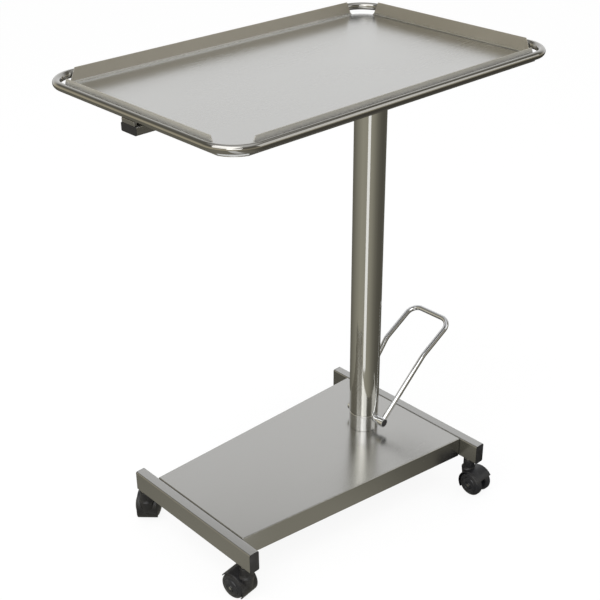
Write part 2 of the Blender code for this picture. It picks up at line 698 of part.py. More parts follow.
def make_spring(well):
    """The return spring fills the bore under the plunger."""
    wire = SPRING_WIRE_DIAMETER
    coil_radius = PLUNGER_PISTON_DIAMETER / 2 - wire / 2
    foot = PUMP_BORE_FOOT + SEAT_GAP + wire / 2
    top = PLUNGER_FOOT - SEAT_GAP - wire / 2
    count = SPRING_TURNS * SPRING_STEPS
    points = []
    for step in range(count + 1):
        angle = 2 * math.pi * step / SPRING_STEPS
        height = foot + (top - foot) * step / count
        points.append(Vector((coil_radius * math.cos(angle), coil_radius * math.sin(angle), height)))
    neighbours = [(points[i] - points[i + SPRING_STEPS]).length for i in range(count + 1 - SPRING_STEPS)]
    print(f"plunger spring: least gap between turns {1000 * (min(neighbours) - wire):.2f} mm")
    add_object("plunger_spring", rod_curve("plunger_spring", points, wire, 1), MACHINED_STEEL, well)


def make_pedal():
    pivot = add_empty("pedal_pivot", (PIVOT_X, 0, PIVOT_Z))
    faces = {end: offset + PEDAL_HUB_WIDTH / 2 for end, offset in PEDAL_HUB_OFFSETS.items()}
    sunk = SHAFT_CAP_THICKNESS + SEAT_GAP
    shaft_length = faces["far"] + faces["near"] - 2 * sunk
    shaft = add_object(
        "pedal_shaft",
        cylinder_mesh("pedal_shaft", SHAFT_DIAMETER / 2, shaft_length, SMALL_SIDES, "Y"),
        CHROME,
        (0, (faces["far"] - faces["near"]) / 2, 0),
        pivot,
    )
    bush_inner_face = INNER_TUBE_DIAMETER / 2 + 2 * SEAT_GAP
    spigot_radius = SHAFT_CAP_SPIGOT_DIAMETER / 2
    bore_depth = SHAFT_CAP_SPIGOT_LENGTH + RUNNING_GAP
    for end, side in (("far", 1), ("near", -1)):
        lay_down = (-side * math.pi / 2, 0, 0)
        shaft_end = faces[end] - sunk
        hole = cutting_cylinder(
            f"shaft_{end}_hole",
            SHAFT_CAP_SPIGOT_DIAMETER + 2 * SEAT_GAP,
            bore_depth + CUT_MARGIN,
            (0, side * (shaft_end + (CUT_MARGIN - bore_depth) / 2), 0),
            "Y",
            pivot,
        )
        cut(shaft, hole)
        cap = [
            (0, faces[end]),
            (SHAFT_CAP_DIAMETER / 2, faces[end]),
            (SHAFT_CAP_DIAMETER / 2, shaft_end + SEAT_GAP),
            (spigot_radius, shaft_end + SEAT_GAP),
            (spigot_radius, shaft_end - SHAFT_CAP_SPIGOT_LENGTH),
            (0, shaft_end - SHAFT_CAP_SPIGOT_LENGTH),
        ]
        shaft_cap = add_turned(f"shaft_cap_{end}", cap, BLACK_PLASTIC, parent=pivot, sides=SMALL_SIDES)
        shaft_cap.rotation_euler = lay_down
        bush_outer_face = faces[end] - PEDAL_HUB_WIDTH - RUNNING_GAP
        bush = ring_profile(
            SHAFT_BUSH_DIAMETER / 2, SHAFT_DIAMETER / 2 + SEAT_GAP, bush_outer_face, bush_inner_face
        )
        place = (PIVOT_X, 0, PIVOT_Z)
        shaft_bush = add_turned(f"shaft_bush_{end}", bush, CHROME, place, sides=SMALL_SIDES)
        shaft_bush.rotation_euler = lay_down
    make_cam(pivot)
    make_fork(pivot, faces)


def make_cam(pivot):
    """The lever on the shaft whose nose presses the pump plunger."""
    cam = add_object(
        "pedal_cam",
        cylinder_mesh("pedal_cam", CAM_HUB_DIAMETER / 2, CAM_WIDTH, SMALL_SIDES, "Y"),
        MACHINED_STEEL,
        parent=pivot,
    )
    nose_place = (CAM_THROW * math.cos(CAM_REST_ANGLE), 0, CAM_NOSE_RISE)
    nose_width = CAM_WIDTH - 2 * RUNNING_GAP
    nose = cutting_cylinder("cam_nose", CAM_NOSE_DIAMETER, nose_width, nose_place, "Y", pivot)
    neck_size = (CAM_THROW, nose_width - 2 * RUNNING_GAP, CAM_NOSE_DIAMETER * 0.8)
    neck_mesh = box_mesh("cam_neck", neck_size, (CAM_THROW / 2, 0, 0))
    neck = add_object("cam_neck", neck_mesh, None, parent=pivot)
    neck.rotation_euler = (0, -CAM_REST_ANGLE, 0)
    combine(cam, neck, "UNION")
    combine(cam, nose, "UNION")
    bore = SHAFT_DIAMETER + 2 * SEAT_GAP
    cut(cam, cutting_cylinder("cam_bore", bore, CAM_WIDTH + 2 * CUT_MARGIN, (0, 0, 0), "Y", pivot))


def make_fork(pivot, faces):
    """The U-shaped pedal rod, welded to a hub at each end. Its arms spread from the hubs to the knee."""
    knee = LOWER_ARM_LENGTH * Vector((math.cos(LOWER_ARM_ANGLE), 0, math.sin(LOWER_ARM_ANGLE)))
    tip = knee + UPPER_ARM_LENGTH * Vector((math.cos(UPPER_ARM_ANGLE), 0, math.sin(UPPER_ARM_ANGLE)))
    near = Vector((0, -PEDAL_HALF_WIDTH, 0))
    far = Vector((0, PEDAL_HALF_WIDTH, 0))
    near_hub = Vector((0, -PEDAL_HUB_OFFSETS["near"], 0))
    far_hub = Vector((0, PEDAL_HUB_OFFSETS["far"], 0))
    corners = [near_hub, knee + near, tip + near, tip + far, knee + far, far_hub]
    radii = [KNEE_RADIUS, PEDAL_CORNER_RADIUS, PEDAL_CORNER_RADIUS, KNEE_RADIUS]
    curve = rod_curve("pedal_rod", filleted(corners, radii), PEDAL_ROD_DIAMETER, ROD_BEVEL)
    rod = add_object("pedal_rod", curve, None)
    fork = add_object("pedal_fork", baked(rod, "pedal_fork"), CHROME, parent=pivot)
    bpy.data.objects.remove(rod, do_unlink=True)
    for end, middle in (("far", far_hub), ("near", near_hub)):
        hub = cutting_cylinder(f"fork_{end}_hub", PEDAL_HUB_DIAMETER, PEDAL_HUB_WIDTH, middle, "Y", pivot)
        combine(fork, hub, "UNION")
    bore_length = 2 * max(faces.values()) + 2 * CUT_MARGIN
    bore = SHAFT_DIAMETER + 2 * SEAT_GAP
    cut(fork, cutting_cylinder("fork_bore", bore, bore_length, (0, 0, 0), "Y", pivot))
    cap_room = SHAFT_CAP_DIAMETER + 2 * SEAT_GAP
    room_depth = SHAFT_CAP_THICKNESS + SEAT_GAP + CUT_MARGIN
    for end, side in (("far", 1), ("near", -1)):
        place = (0, side * (faces[end] + CUT_MARGIN - room_depth / 2), 0)
        cut(fork, cutting_cylinder(f"fork_{end}_cap_room", cap_room, room_depth, place, "Y", pivot))


def make_carrier():
    swivel = add_empty("tray_swivel", (COLUMN_X, 0, 0))
    pin_radius = SWIVEL_PIN_DIAMETER / 2 + SEAT_GAP
    pin_end = HEAD_TOP + SWIVEL_PIN_LENGTH + RUNNING_GAP
    saddle = [
        (0, SADDLE_TOP),
        (SADDLE_DIAMETER / 2, SADDLE_TOP),
        (SADDLE_DIAMETER / 2, SADDLE_FOOT),
        (pin_radius, SADDLE_FOOT),
        (pin_radius, pin_end),
        (0, pin_end),
    ]
    add_turned("swivel_saddle", saddle, MACHINED_STEEL, parent=swivel)
    arm_height = ARM_FOOT + ARM_HEIGHT / 2
    cap_inset = CAP_THICKNESS + SEAT_GAP
    to_middle = -COLUMN_X
    size = (2 * (ARM_END - cap_inset), ARM_WIDTH, ARM_HEIGHT)
    add_square_tube("support_arm", size, ARM_WALL, (to_middle, 0, arm_height), SATIN_STEEL, "X", swivel)
    for end, side in (("left", -1), ("right", 1)):
        add_tube_cap(
            f"arm_cap_{end}",
            ARM_WIDTH,
            ARM_HEIGHT,
            ARM_WALL,
            (to_middle + side * ARM_END, 0, arm_height),
            (side, 0),
            BLACK_PLASTIC,
            swivel,
        )
        pad_foot = ARM_TOP + SEAT_GAP
        pad_top = FRAME_Z - FRAME_TUBE_RADIUS - SEAT_GAP
        pad_x = to_middle + side * (FRAME_LENGTH / 2 - FRAME_TUBE_RADIUS)
        pad_size = (PAD_THICKNESS, PAD_WIDTH, pad_top - pad_foot)
        pad_place = (pad_x, 0, (pad_top + pad_foot) / 2)
        add_object(f"frame_pad_{end}", box_mesh("frame_pad", pad_size), SATIN_STEEL, pad_place, swivel)
    inner_end = ARM_WIDTH / 2 + SEAT_GAP
    stub_length = CROSS_ARM_REACH - cap_inset - inner_end
    for end, side in (("near", -1), ("far", 1)):
        stub_size = (CROSS_ARM_WIDTH, stub_length, ARM_HEIGHT)
        place = (to_middle, side * (inner_end + stub_length / 2), arm_height)
        add_square_tube(f"cross_arm_{end}", stub_size, ARM_WALL, place, SATIN_STEEL, "Y", swivel)
        add_tube_cap(
            f"cross_arm_cap_{end}",
            CROSS_ARM_WIDTH,
            ARM_HEIGHT,
            ARM_WALL,
            (to_middle, side * CROSS_ARM_REACH, arm_height),
            (0, side),
            BLACK_PLASTIC,
            swivel,
        )
    centre_radius = FRAME_CORNER_RADIUS - FRAME_TUBE_RADIUS
    outline = rounded_rectangle(
        FRAME_LENGTH - FRAME_TUBE_DIAMETER, FRAME_WIDTH - FRAME_TUBE_DIAMETER, centre_radius
    )
    loop = [(point.x, point.y, FRAME_Z) for point in outline]
    ring = rod_curve("tray_frame", loop, FRAME_TUBE_DIAMETER, ROD_BEVEL, closed=True)
    add_object("tray_frame", ring, POLISHED_STEEL, (to_middle, 0, 0), swivel)


def make_tray():
    """A folded sheet: flat floor with round corners and an upright wall along each straight side."""
    lift = add_empty("tray_lift", (0, 0, 0))
    inset = FRAME_TUBE_DIAMETER + TRAY_CORNER_GAP + TRAY_SHEET
    radius = FRAME_CORNER_RADIUS - inset
    side_cut = TRAY_SIDE_GAP - TRAY_CORNER_GAP
    outline = rounded_rectangle(FRAME_LENGTH - 2 * inset, FRAME_WIDTH - 2 * inset, radius, side_cut)
    bm = bmesh.new()
    rim = [bm.verts.new((point.x, point.y, TRAY_FLOOR)) for point in outline]
    floor = bm.faces.new(rim)
    straight = max(edge.calc_length() for edge in floor.edges) * 0.4
    for edge in [edge for edge in floor.edges if edge.calc_length() > straight]:
        along = (edge.verts[1].co - edge.verts[0].co).normalized()
        wall = bmesh.ops.extrude_edge_only(bm, edges=[edge])
        raised = [item for item in wall["geom"] if isinstance(item, bmesh.types.BMVert)]
        middle = (raised[0].co + raised[1].co) / 2
        for vert in raised:
            inward = math.copysign(TRAY_WALL_SLANT, (middle - vert.co).dot(along))
            vert.co += along * inward + Vector((0, 0, TRAY_WALL_HEIGHT))
    tray = add_object("tray", mesh_of(bm, "tray"), TRAY_STEEL, parent=lift)
    sheet = tray.modifiers.new("Sheet", "SOLIDIFY")
    sheet.thickness = TRAY_SHEET
    sheet.use_even_offset = True
    sheet.use_quality_normals = True
    up = max(tray.data.polygons, key=lambda face: face.area).normal.z
    sheet.offset = -1 if up > 0 else 1


make_castors()
make_bars()
make_cover()
make_column()
make_carriage()
make_pump()
make_pedal()
make_carrier()
make_tray()
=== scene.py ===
"""Instrument table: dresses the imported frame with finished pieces, finishes and a studio stage."""

import json
import math

import bmesh
import bpy
from bpy.props import FloatProperty, FloatVectorProperty, PointerProperty
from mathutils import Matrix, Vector

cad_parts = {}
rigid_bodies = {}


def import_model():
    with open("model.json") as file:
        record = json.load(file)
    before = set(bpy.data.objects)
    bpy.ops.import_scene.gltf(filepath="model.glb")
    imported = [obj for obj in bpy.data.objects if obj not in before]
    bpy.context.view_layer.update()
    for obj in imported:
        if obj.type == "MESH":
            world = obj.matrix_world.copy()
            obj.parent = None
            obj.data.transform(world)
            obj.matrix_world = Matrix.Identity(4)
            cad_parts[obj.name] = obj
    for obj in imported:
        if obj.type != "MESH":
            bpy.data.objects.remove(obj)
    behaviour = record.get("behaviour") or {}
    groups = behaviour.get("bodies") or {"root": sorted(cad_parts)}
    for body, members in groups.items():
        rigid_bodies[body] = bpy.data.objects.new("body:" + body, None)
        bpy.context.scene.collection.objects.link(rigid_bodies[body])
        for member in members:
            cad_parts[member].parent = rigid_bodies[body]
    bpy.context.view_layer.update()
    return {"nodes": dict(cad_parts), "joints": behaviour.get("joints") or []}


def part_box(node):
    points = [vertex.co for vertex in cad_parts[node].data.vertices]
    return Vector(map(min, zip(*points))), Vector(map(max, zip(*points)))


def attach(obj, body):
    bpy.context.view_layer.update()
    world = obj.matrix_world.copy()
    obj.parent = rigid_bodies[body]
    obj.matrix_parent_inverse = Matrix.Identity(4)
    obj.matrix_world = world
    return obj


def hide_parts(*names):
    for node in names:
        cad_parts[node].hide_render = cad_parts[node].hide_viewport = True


bl_info = {
    "name": "Instrument Table",
    "version": (1, 0, 0),
    "blender": (4, 5, 0),
    "location": "3D View > Sidebar > Table",
    "description": "Builds the visible pieces of a foot-pumped instrument table on its packed frame",
    "category": "Add Mesh",
}

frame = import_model()
CORNERS = ("left_near", "left_far", "right_near", "right_far")


def joint_place(name):
    return next(joint["pos_m"] for joint in frame["joints"] if joint["name"] == name)


def box_of(node):
    """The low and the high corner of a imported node."""
    return [Vector(corner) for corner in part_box(node)]


def middle_of(node):
    low, high = box_of(node)
    return (low + high) / 2


def size_of(node):
    low, high = box_of(node)
    return high - low


def round_of(node):
    """The radius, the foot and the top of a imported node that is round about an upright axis."""
    low, high = box_of(node)
    return (high.x - low.x) / 2, low.z, high.z


COLUMN_AXIS = Vector((*joint_place("tray_swivel")[:2], 0))
PEDAL_AXIS = Vector(joint_place("pedal_pivot"))
AXLE_HEIGHT = joint_place("left_near_roll_a")[2]
QUARTER_TURN = math.pi / 2
ALONG_Y = (QUARTER_TURN, 0, 0)
# The gap between pieces that sit in or on each other
SEAT_GAP = 0.0003
# Places nearer than these count as level, and as the same
LEVEL = 0.0001
SAME = 0.00001
# A direction with this share along an axis counts as straight along it
STRAIGHT = 0.99
SMOOTH_ANGLE = math.radians(32)

# The photograph's camera, and the heading from the table towards it
CAMERA_PLACE = (-1.1937, -1.2559, 1.3737)
CAMERA_TILT = math.radians(90 - 28.27)
CAMERA_TURN = math.radians(-43.94)
CAMERA_LENS = 67.48
CAMERA_SHIFT = (-0.028, -0.002)
VIEW_ANGLE = math.radians(226.06)


def length(label, default, description):
    return FloatProperty(
        name=label, description=description, default=default, min=0, unit="LENGTH", precision=4
    )


def angle(label, degrees, description):
    return FloatProperty(
        name=label, description=description, default=math.radians(degrees), subtype="ANGLE"
    )


def power(label, default, description):
    return FloatProperty(name=label, description=description, default=default, min=0)


def colour(label, default, description):
    return FloatVectorProperty(
        name=label, description=description, default=default, size=3, min=0, max=1, subtype="COLOR"
    )


class TraySizes(bpy.types.PropertyGroup):
    sheet: length("Sheet", 0.0015, "Thickness of the folded tray sheet")
    corner: length("Floor Corner", 0.0294, "How far the tray floor is cut back at each corner")
    bend: length("Bend", 0.005, "Inside radius of the fold between floor and wall")
    slant: length("Wall Slant", 0.011, "How far each wall is shorter at its top, at each end")
    frame_corner: length("Frame Corner", 0.0505, "Bend radius of the frame tube at its centre line")


class ColumnSizes(bpy.types.PropertyGroup):
    edge: length("Edge Round", 0.0006, "Rounding of the turned tube ends")
    collar_edge: length("Collar Edge", 0.0008, "Rounding of the collar's rims")
    wall: length("Sleeve Wall", 0.002, "Wall of the moving sleeve")
    inner_wall: length("Column Wall", 0.003, "Wall of the fixed inner column")


class BaseSizes(bpy.types.PropertyGroup):
    sheet: length("Cover Sheet", 0.0015, "Thickness of the folded base cover")
    fold: length("Cover Fold", 0.0018, "Outside radius of the cover's folds")
    tube_corner: length("Tube Corner", 0.0028, "Outside corner radius of the base bars")
    arm_corner: length("Arm Corner", 0.002, "Outside corner radius of the arms under the tray")
    tube_wall: length("Tube Wall", 0.0015, "Wall of the rectangular tubes")
    cap_edge: length("Cap Edge", 0.0005, "Rounding of the plastic end caps")


class PedalSizes(bpy.types.PropertyGroup):
    rod: length("Rod", 0.010, "Diameter of the bent pedal rod")
    half_width: length("Half Width", 0.0485, "From the pedal's middle to each arm, at the knee and the tip")
    lower_arm: length("Lower Arm", 0.152, "From the shaft to the knee")
    lower_angle: angle("Lower Angle", 45.5, "Rise of the lower arm")
    upper_arm: length("Upper Arm", 0.090, "From the knee to the tip")
    upper_angle: angle("Upper Angle", 30, "Rise of the upper arm")
    knee: length("Knee Bend", 0.040, "Bend radius of the knee")
    corner: length("Corner Bend", 0.022, "Bend radius of the two corners at the tip")
    hub: length("Hub", 0.018, "Diameter of the hubs on the shaft")
    hub_width: length("Hub Width", 0.012, "Width of each hub along the shaft")
    near_hub: length("Near Hub", 0.0427, "From the pedal's middle to the near hub")
    far_hub: length("Far Hub", 0.0367, "From the pedal's middle to the far hub")
    bore: length("Shaft Bore", 0.0106, "Diameter of the hubs' and bushes' bore")


class CastorSizes(bpy.types.PropertyGroup):
    wheel: length("Wheel", 0.048, "Diameter of a castor wheel")
    width: length("Wheel Width", 0.014, "Width of a wheel at its rim")
    dome: length("Wheel Dome", 0.005, "How far a wheel's outer face bulges")
    trail: length("Trail", 0.018, "Distance from the stem to the axle")
    web: length("Web", 0.010, "Thickness of the web between the two wheels")
    web_room: length("Web Room", 0.0005, "Gap between web and wheel")
    axle: length("Axle", 0.006, "Diameter of the wheels' axle")
    axle_bore: length("Axle Bore", 0.0066, "Diameter of the hole that the axle goes through")
    hood_wall: length("Hood Wall", 0.002, "Wall of the hood over the wheels")
    hood_room: length("Hood Room", 0.001, "Gap between wheel and hood")
    hood_tilt: angle("Hood Tilt", 35, "Tilt of the hood's open side")
    boss: length("Boss", 0.022, "Diameter of the neck that takes the stem")


class Finishes(bpy.types.PropertyGroup):
    satin: colour("Satin Steel", (0.41, 0.408, 0.40), "Brushed sheet and tube")
    cover: colour("Cover Steel", (0.46, 0.458, 0.446), "Brushed sheet of the base cover")
    # On the tray's outside this tint is painted light: the outer faces of the walls are the same sheet as
    # the floor, made lighter.
    collar: colour("Collar Steel", (0.74, 0.74, 0.73), "Light satin of the collar and the tray's outside")
    tray: colour("Tray Steel", (0.53, 0.53, 0.52), "Bright satin tray sheet")
    # This warmer, darker tone is painted reflection: the inside of the walls is the same sheet as the tray
    # floor.
    wall: colour("Wall Steel", (0.50, 0.475, 0.42), "Warmer satin on the inside of the tray's walls")
    polished: colour("Polished Steel", (0.66, 0.655, 0.62), "Polished sleeve and column")
    ring: colour("Ring Steel", (0.36, 0.353, 0.335), "Drawn tube of the tray frame")
    chrome: colour("Chrome", (0.70, 0.71, 0.735), "Plated pedal rod, shaft, bushes and lift ram")
    machined: colour("Machined Steel", (0.42, 0.42, 0.41), "Turned fittings")
    housing: colour("Housing", (0.13, 0.135, 0.14), "Painted pump body")
    bronze: colour("Bronze", (0.50, 0.33, 0.16), "Turned gland")
    black: colour("Black Plastic", (0.014, 0.014, 0.016), "Moulded caps and hoods")
    wheel: colour("Wheel Plastic", (0.018, 0.019, 0.023), "Moulded wheels")
    natural: colour("Natural Plastic", (0.74, 0.73, 0.68), "Slide bush")


class StageLook(bpy.types.PropertyGroup):
    floor: colour("Floor", (0.86, 0.86, 0.86), "Plain pale studio floor")
    mat: colour("Mat", (0.36, 0.345, 0.285), "Warm grey mat that the steel mirrors")
    dark_mat: colour("Dark Mat", (0.07, 0.066, 0.055), "Dark side of the mat")
    wall: colour("Wall", (0.74, 0.68, 0.52), "Cream wall round the photographer's side, seen in the steel")
    ceiling: colour("Ceiling", (0.22, 0.21, 0.18), "Dim upper wall, seen in the steel")
    lamp: power("Lamp", 38, "Power of the main soft lamp")
    fill: power("Fill", 13, "Power of the fill lamp")


class InstrumentTable(bpy.types.PropertyGroup):
    tray: PointerProperty(type=TraySizes)
    column: PointerProperty(type=ColumnSizes)
    base: PointerProperty(type=BaseSizes)
    pedal: PointerProperty(type=PedalSizes)
    castor: PointerProperty(type=CastorSizes)
    finish: PointerProperty(type=Finishes)
    stage: PointerProperty(type=StageLook)


def settings():
    return bpy.context.scene.instrument_table


# Modelling by hand


def deselect():
    bpy.ops.object.select_all(action="DESELECT")


def choose(piece):
    """Makes the piece the only one selected, and the active one."""
    deselect()
    piece.select_set(True)
    bpy.context.view_layer.objects.active = piece


def edit(name):
    """Names the primitive just added and starts to edit it."""
    piece = bpy.context.object
    piece.name = name
    piece.data.name = name
    bpy.ops.object.transform_apply(location=True, rotation=True, scale=True)
    bpy.ops.object.mode_set(mode="EDIT")
    bpy.ops.mesh.select_mode(type="VERT")
    return piece


def leave_edit():
    bpy.ops.object.mode_set(mode="OBJECT")


def select_all():
    bpy.ops.mesh.select_all(action="SELECT")


def pick(kind, test):
    """Selects only the vertices, edges or faces that pass the test."""
    bpy.ops.mesh.select_mode(type=kind)
    bpy.ops.mesh.select_all(action="DESELECT")
    mesh = bmesh.from_edit_mesh(bpy.context.object.data)
    for item in {"VERT": mesh.verts, "EDGE": mesh.edges, "FACE": mesh.faces}[kind]:
        item.select_set(bool(test(item)))
    mesh.select_flush_mode()
    bmesh.update_edit_mesh(bpy.context.object.data)


def bevel(offset, segments, affect="EDGES", **values):
    bpy.ops.mesh.bevel(offset=offset, segments=segments, affect=affect, **values)


def draw_out(step):
    """Extrudes the selected edges by a step."""
    bpy.ops.mesh.extrude_edges_move(TRANSFORM_OT_translate={"value": step})


def centre(item):
    return sum((vert.co for vert in item.verts), Vector()) / len(item.verts)


def along(edge, axis):
    return abs((edge.verts[1].co - edge.verts[0].co).normalized()[axis]) > STRAIGHT


def weld():
    bpy.ops.mesh.select_mode(type="VERT")
    select_all()
    bpy.ops.mesh.remove_doubles(threshold=0.000005)
    bpy.ops.mesh.normals_make_consistent(inside=False)


def use_modifier(piece, kind, **values):
    modifier = piece.modifiers.new(kind.title(), kind)
    for key, value in values.items():
        setattr(modifier, key, value)
    bpy.context.view_layer.objects.active = piece
    bpy.ops.object.modifier_apply(modifier=modifier.name)


def soften(piece, width, degrees):
    """Rounds the edges sharper than an angle a little, so that they catch the light."""
    values = {"width": width, "segments": 2, "limit_method": "ANGLE", "use_clamp_overlap": True}
    use_modifier(piece, "BEVEL", angle_limit=math.radians(degrees), **values)


def thicken(piece, sheet):
    """Gives a folded sheet its thickness, on the underside of its largest face."""
    up = max(piece.data.polygons, key=lambda face: face.area).normal.z
    values = {"thickness": sheet, "use_even_offset": True, "use_quality_normals": True}
    use_modifier(piece, "SOLIDIFY", offset=-1 if up > 0 else 1, **values)


def shade(piece):
    choose(piece)
    bpy.ops.object.shade_smooth_by_angle(angle=SMOOTH_ANGLE)


def finished(piece):
    """Ends the editing of a piece and shades it."""
    leave_edit()
    shade(piece)
    return piece


def put(piece, location=(0, 0, 0), rotation=(0, 0, 0)):
    """Turns and moves the piece, and writes its place into its mesh."""
    choose(piece)
    piece.rotation_euler = rotation
    piece.location = location
    bpy.ops.object.transform_apply(location=True, rotation=True, scale=True)
    return piece


def copy_of(piece, name):
    choose(piece)
    bpy.ops.object.duplicate(linked=False)
    copy = bpy.context.object
    copy.name = name
    copy.data.name = name
    return copy


def remove(piece):
    bpy.data.objects.remove(piece, do_unlink=True)


def plane(size, place=(0, 0, 0)):
    deselect()
    bpy.ops.mesh.primitive_plane_add(size=size, location=place)
    return bpy.context.object


def cylinder(sides, radius, depth, place, turn=(0, 0, 0)):
    deselect()
    bpy.ops.mesh.primitive_cylinder_add(
        vertices=sides, radius=radius, depth=depth, location=place, rotation=turn
    )
    return bpy.context.object


def block(name, middle, size):
    deselect()
    bpy.ops.mesh.primitive_cube_add(size=1, location=middle, scale=size)
    return edit(name)


def carve(piece, tool, operation="DIFFERENCE"):
    use_modifier(piece, "BOOLEAN", operation=operation, object=tool, solver="EXACT")
    remove(tool)


def settle(piece, body, slot, look, *nodes):
    """Gives the finished piece even shading, its finish, its body and the nodes it stands for."""
    use_modifier(piece, "WEIGHTED_NORMAL", keep_sharp=True)
    piece.data.materials.clear()
    piece.data.materials.append(finish(look))
    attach(piece, body)
    if nodes:
        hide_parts(*nodes)


def turned(name, section, sides=96, rounds=None, closed=False):
    """A piece turned about Z from its half section, a list of (radius, height).
    rounds gives a radius for each numbered corner that is rounded."""
    plane(0.01)
    piece = edit(name)
    select_all()
    bpy.ops.mesh.merge(type="CENTER")
    path = list(section) + ([section[0]] if closed else [])
    bpy.ops.transform.translate(value=(path[0][0], 0, path[0][1]))
    for before, after in zip(path, path[1:]):
        step = (after[0] - before[0], 0, after[1] - before[1])
        bpy.ops.mesh.extrude_vertices_move(TRANSFORM_OT_translate={"value": step})
    select_all()
    bpy.ops.mesh.remove_doubles(threshold=0.000001)
    for corner, radius in (rounds or {}).items():
        place = Vector((section[corner][0], 0, section[corner][1]))
        pick("VERT", lambda vert: (vert.co - place).length < SAME)
        bevel(radius, 4, "VERTICES")
    select_all()
    bpy.ops.mesh.spin(steps=sides, angle=2 * math.pi, center=(0, 0, 0), axis=(0, 0, 1))
    weld()
    return finished(piece)


def ring_section(outer, inner, top, foot):
    return [(outer, top), (outer, foot), (inner, foot), (inner, top)]


def bent_rod(name, corners, radii, diameter, closed=False, sides=28, steps=14):
    """A round rod bent along straight runs: it is drawn out along each run and swept round each bend."""
    points = [Vector(corner) for corner in corners]
    if closed:
        start = last = (points[0] + points[-1]) / 2
        bends = list(zip(points[-1:] + points[:-1], points, points[1:] + points[:1]))
    else:
        start, last = points[0], points[-1]
        bends = list(zip(points, points[1:], points[2:]))
    heading = (bends[0][1] - start).normalized()
    deselect()
    bpy.ops.mesh.primitive_circle_add(
        vertices=sides,
        radius=diameter / 2,
        location=start,
        rotation=heading.to_track_quat("Z", "Y").to_euler(),
    )
    piece = edit(name)
    select_all()
    place = start
    for (before, corner, after), radius in zip(bends, radii):
        back = (before - corner).normalized()
        ahead = (after - corner).normalized()
        half = back.angle(ahead) / 2
        reach = radius / math.tan(half)
        hub = corner + (back + ahead).normalized() * radius / math.sin(half)
        entry = corner + back * reach
        leave = corner + ahead * reach
        draw_out(entry - place)
        axis = (entry - hub).cross(leave - hub).normalized()
        bpy.ops.mesh.spin(steps=steps, angle=2 * half - math.pi, center=hub, axis=axis)
        place = leave
    draw_out(last - place)
    if not closed:
        pick("EDGE", lambda edge: edge.is_boundary)
        bpy.ops.mesh.fill()
    weld()
    return finished(piece)


def square_tube(name, node, run, corner, wall):
    """A rectangular tube with round corners, open at both ends, along axis number run."""
    piece = block(name, middle_of(node), size_of(node))
    pick("EDGE", lambda edge: along(edge, run))
    bevel(corner, 5)
    pick("FACE", lambda face: abs(face.normal[run]) > STRAIGHT)
    bpy.ops.mesh.delete(type="FACE")
    leave_edit()
    use_modifier(piece, "SOLIDIFY", thickness=wall, offset=-1, use_even_offset=True)
    shade(piece)
    return piece


def end_cap(name, node, outward, corner, wall, edge):
    """A plastic end cap: a thin lip over the tube's end and the stub that plugs its mouth."""
    lip = 0.001
    run = 0 if outward[0] else 1
    way = Vector((*outward, 0))
    low, high = box_of(node)
    outer = high[run] if outward[run] > 0 else low[run]
    middle = (low + high) / 2
    middle[run] = outer - outward[run] * lip / 2
    size = high - low
    depth = size[run] - lip
    size[run] = lip
    piece = block(name, middle, size)
    pick("EDGE", lambda item: along(item, run))
    bevel(corner, 5)
    pick("FACE", lambda item: item.normal.dot(way) < -STRAIGHT)
    bpy.ops.mesh.inset(thickness=wall + SEAT_GAP, use_even_offset=True)
    bpy.ops.mesh.extrude_region_move(TRANSFORM_OT_translate={"value": -way * depth})
    pick("EDGE", lambda item: all(abs(vert.co[run] - outer) < SAME for vert in item.verts))
    bevel(edge, 3)
    return finished(piece)


# Shared effects of the finishes


def feed(tree, node, inputs):
    """Sets a node's inputs: each takes a value or, where a socket is given, a link from it."""
    for label, value in inputs.items():
        if isinstance(value, bpy.types.NodeSocket):
            tree.links.new(value, node.inputs[label])
        else:
            node.inputs[label].default_value = value


def add_node(tree, kind, inputs=None, **values):
    node = tree.nodes.new("ShaderNode" + kind)
    for key, value in values.items():
        setattr(node, key, value)
    feed(tree, node, inputs or {})
    return node


def new_group(name, inputs, outputs):
    """A node group with its entry's sockets, and the node that takes its results."""
    group = bpy.data.node_groups.new(name, "ShaderNodeTree")
    for label, default in inputs.items():
        kind = "NodeSocketVector" if isinstance(default, tuple) else "NodeSocketFloat"
        socket = group.interface.new_socket(name=label, in_out="INPUT", socket_type=kind)
        socket.default_value = default
    for label in outputs:
        group.interface.new_socket(name=label, in_out="OUTPUT", socket_type="NodeSocketFloat")
    entry = group.nodes.new("NodeGroupInput")
    leave = group.nodes.new("NodeGroupOutput")
    return group, entry.outputs, leave


def stretched_noise(group, stretch, detail):
    """Noise on object coordinates, drawn out by a stretch socket."""
    place = add_node(group, "TexCoord").outputs["Object"]
    drawn = add_node(group, "VectorMath", {0: place, 1: stretch}, operation="MULTIPLY")
    inputs = {"Vector": drawn.outputs["Vector"], "Scale": 1.0, "Detail": detail, "Roughness": 0.6}
    return add_node(group, "TexNoise", inputs).outputs["Fac"]


def spread(group, value, low, high):
    """Maps the middle of a noise's range onto the range between two sockets."""
    inputs = {"Value": value, "From Min": 0.3, "From Max": 0.7, "To Min": low, "To Max": high}
    return add_node(group, "MapRange", inputs).outputs["Result"]


def smooth_step(tree, value, low, high):
    inputs = {"Value": value, "From Min": low, "From Max": high}
    return add_node(tree, "MapRange", inputs, interpolation_type="SMOOTHSTEP").outputs["Result"]


def make_brushed_group():
    """Fine parallel scratches with slow, cloudy changes of gloss and tone over them."""
    inputs = {"Stretch": (1, 1, 1), "Cloud Stretch": (1, 1, 1)}
    inputs |= {"Low Roughness": 0.2, "High Roughness": 0.4, "Low Tone": 0.0, "High Tone": 1.0}
    group, entry, leave = new_group("brushed_grain", inputs, ("Roughness", "Tone", "Height"))
    grain = stretched_noise(group, entry["Stretch"], 3)
    cloud = stretched_noise(group, entry["Cloud Stretch"], 2)
    both = add_node(group, "Mix", {"Factor": 0.5, "A": grain, "B": cloud}).outputs["Result"]
    for label in ("Roughness", "Tone"):
        result = spread(group, both, entry["Low " + label], entry["High " + label])
        feed(group, leave, {label: result})
    feed(group, leave, {"Height": grain})


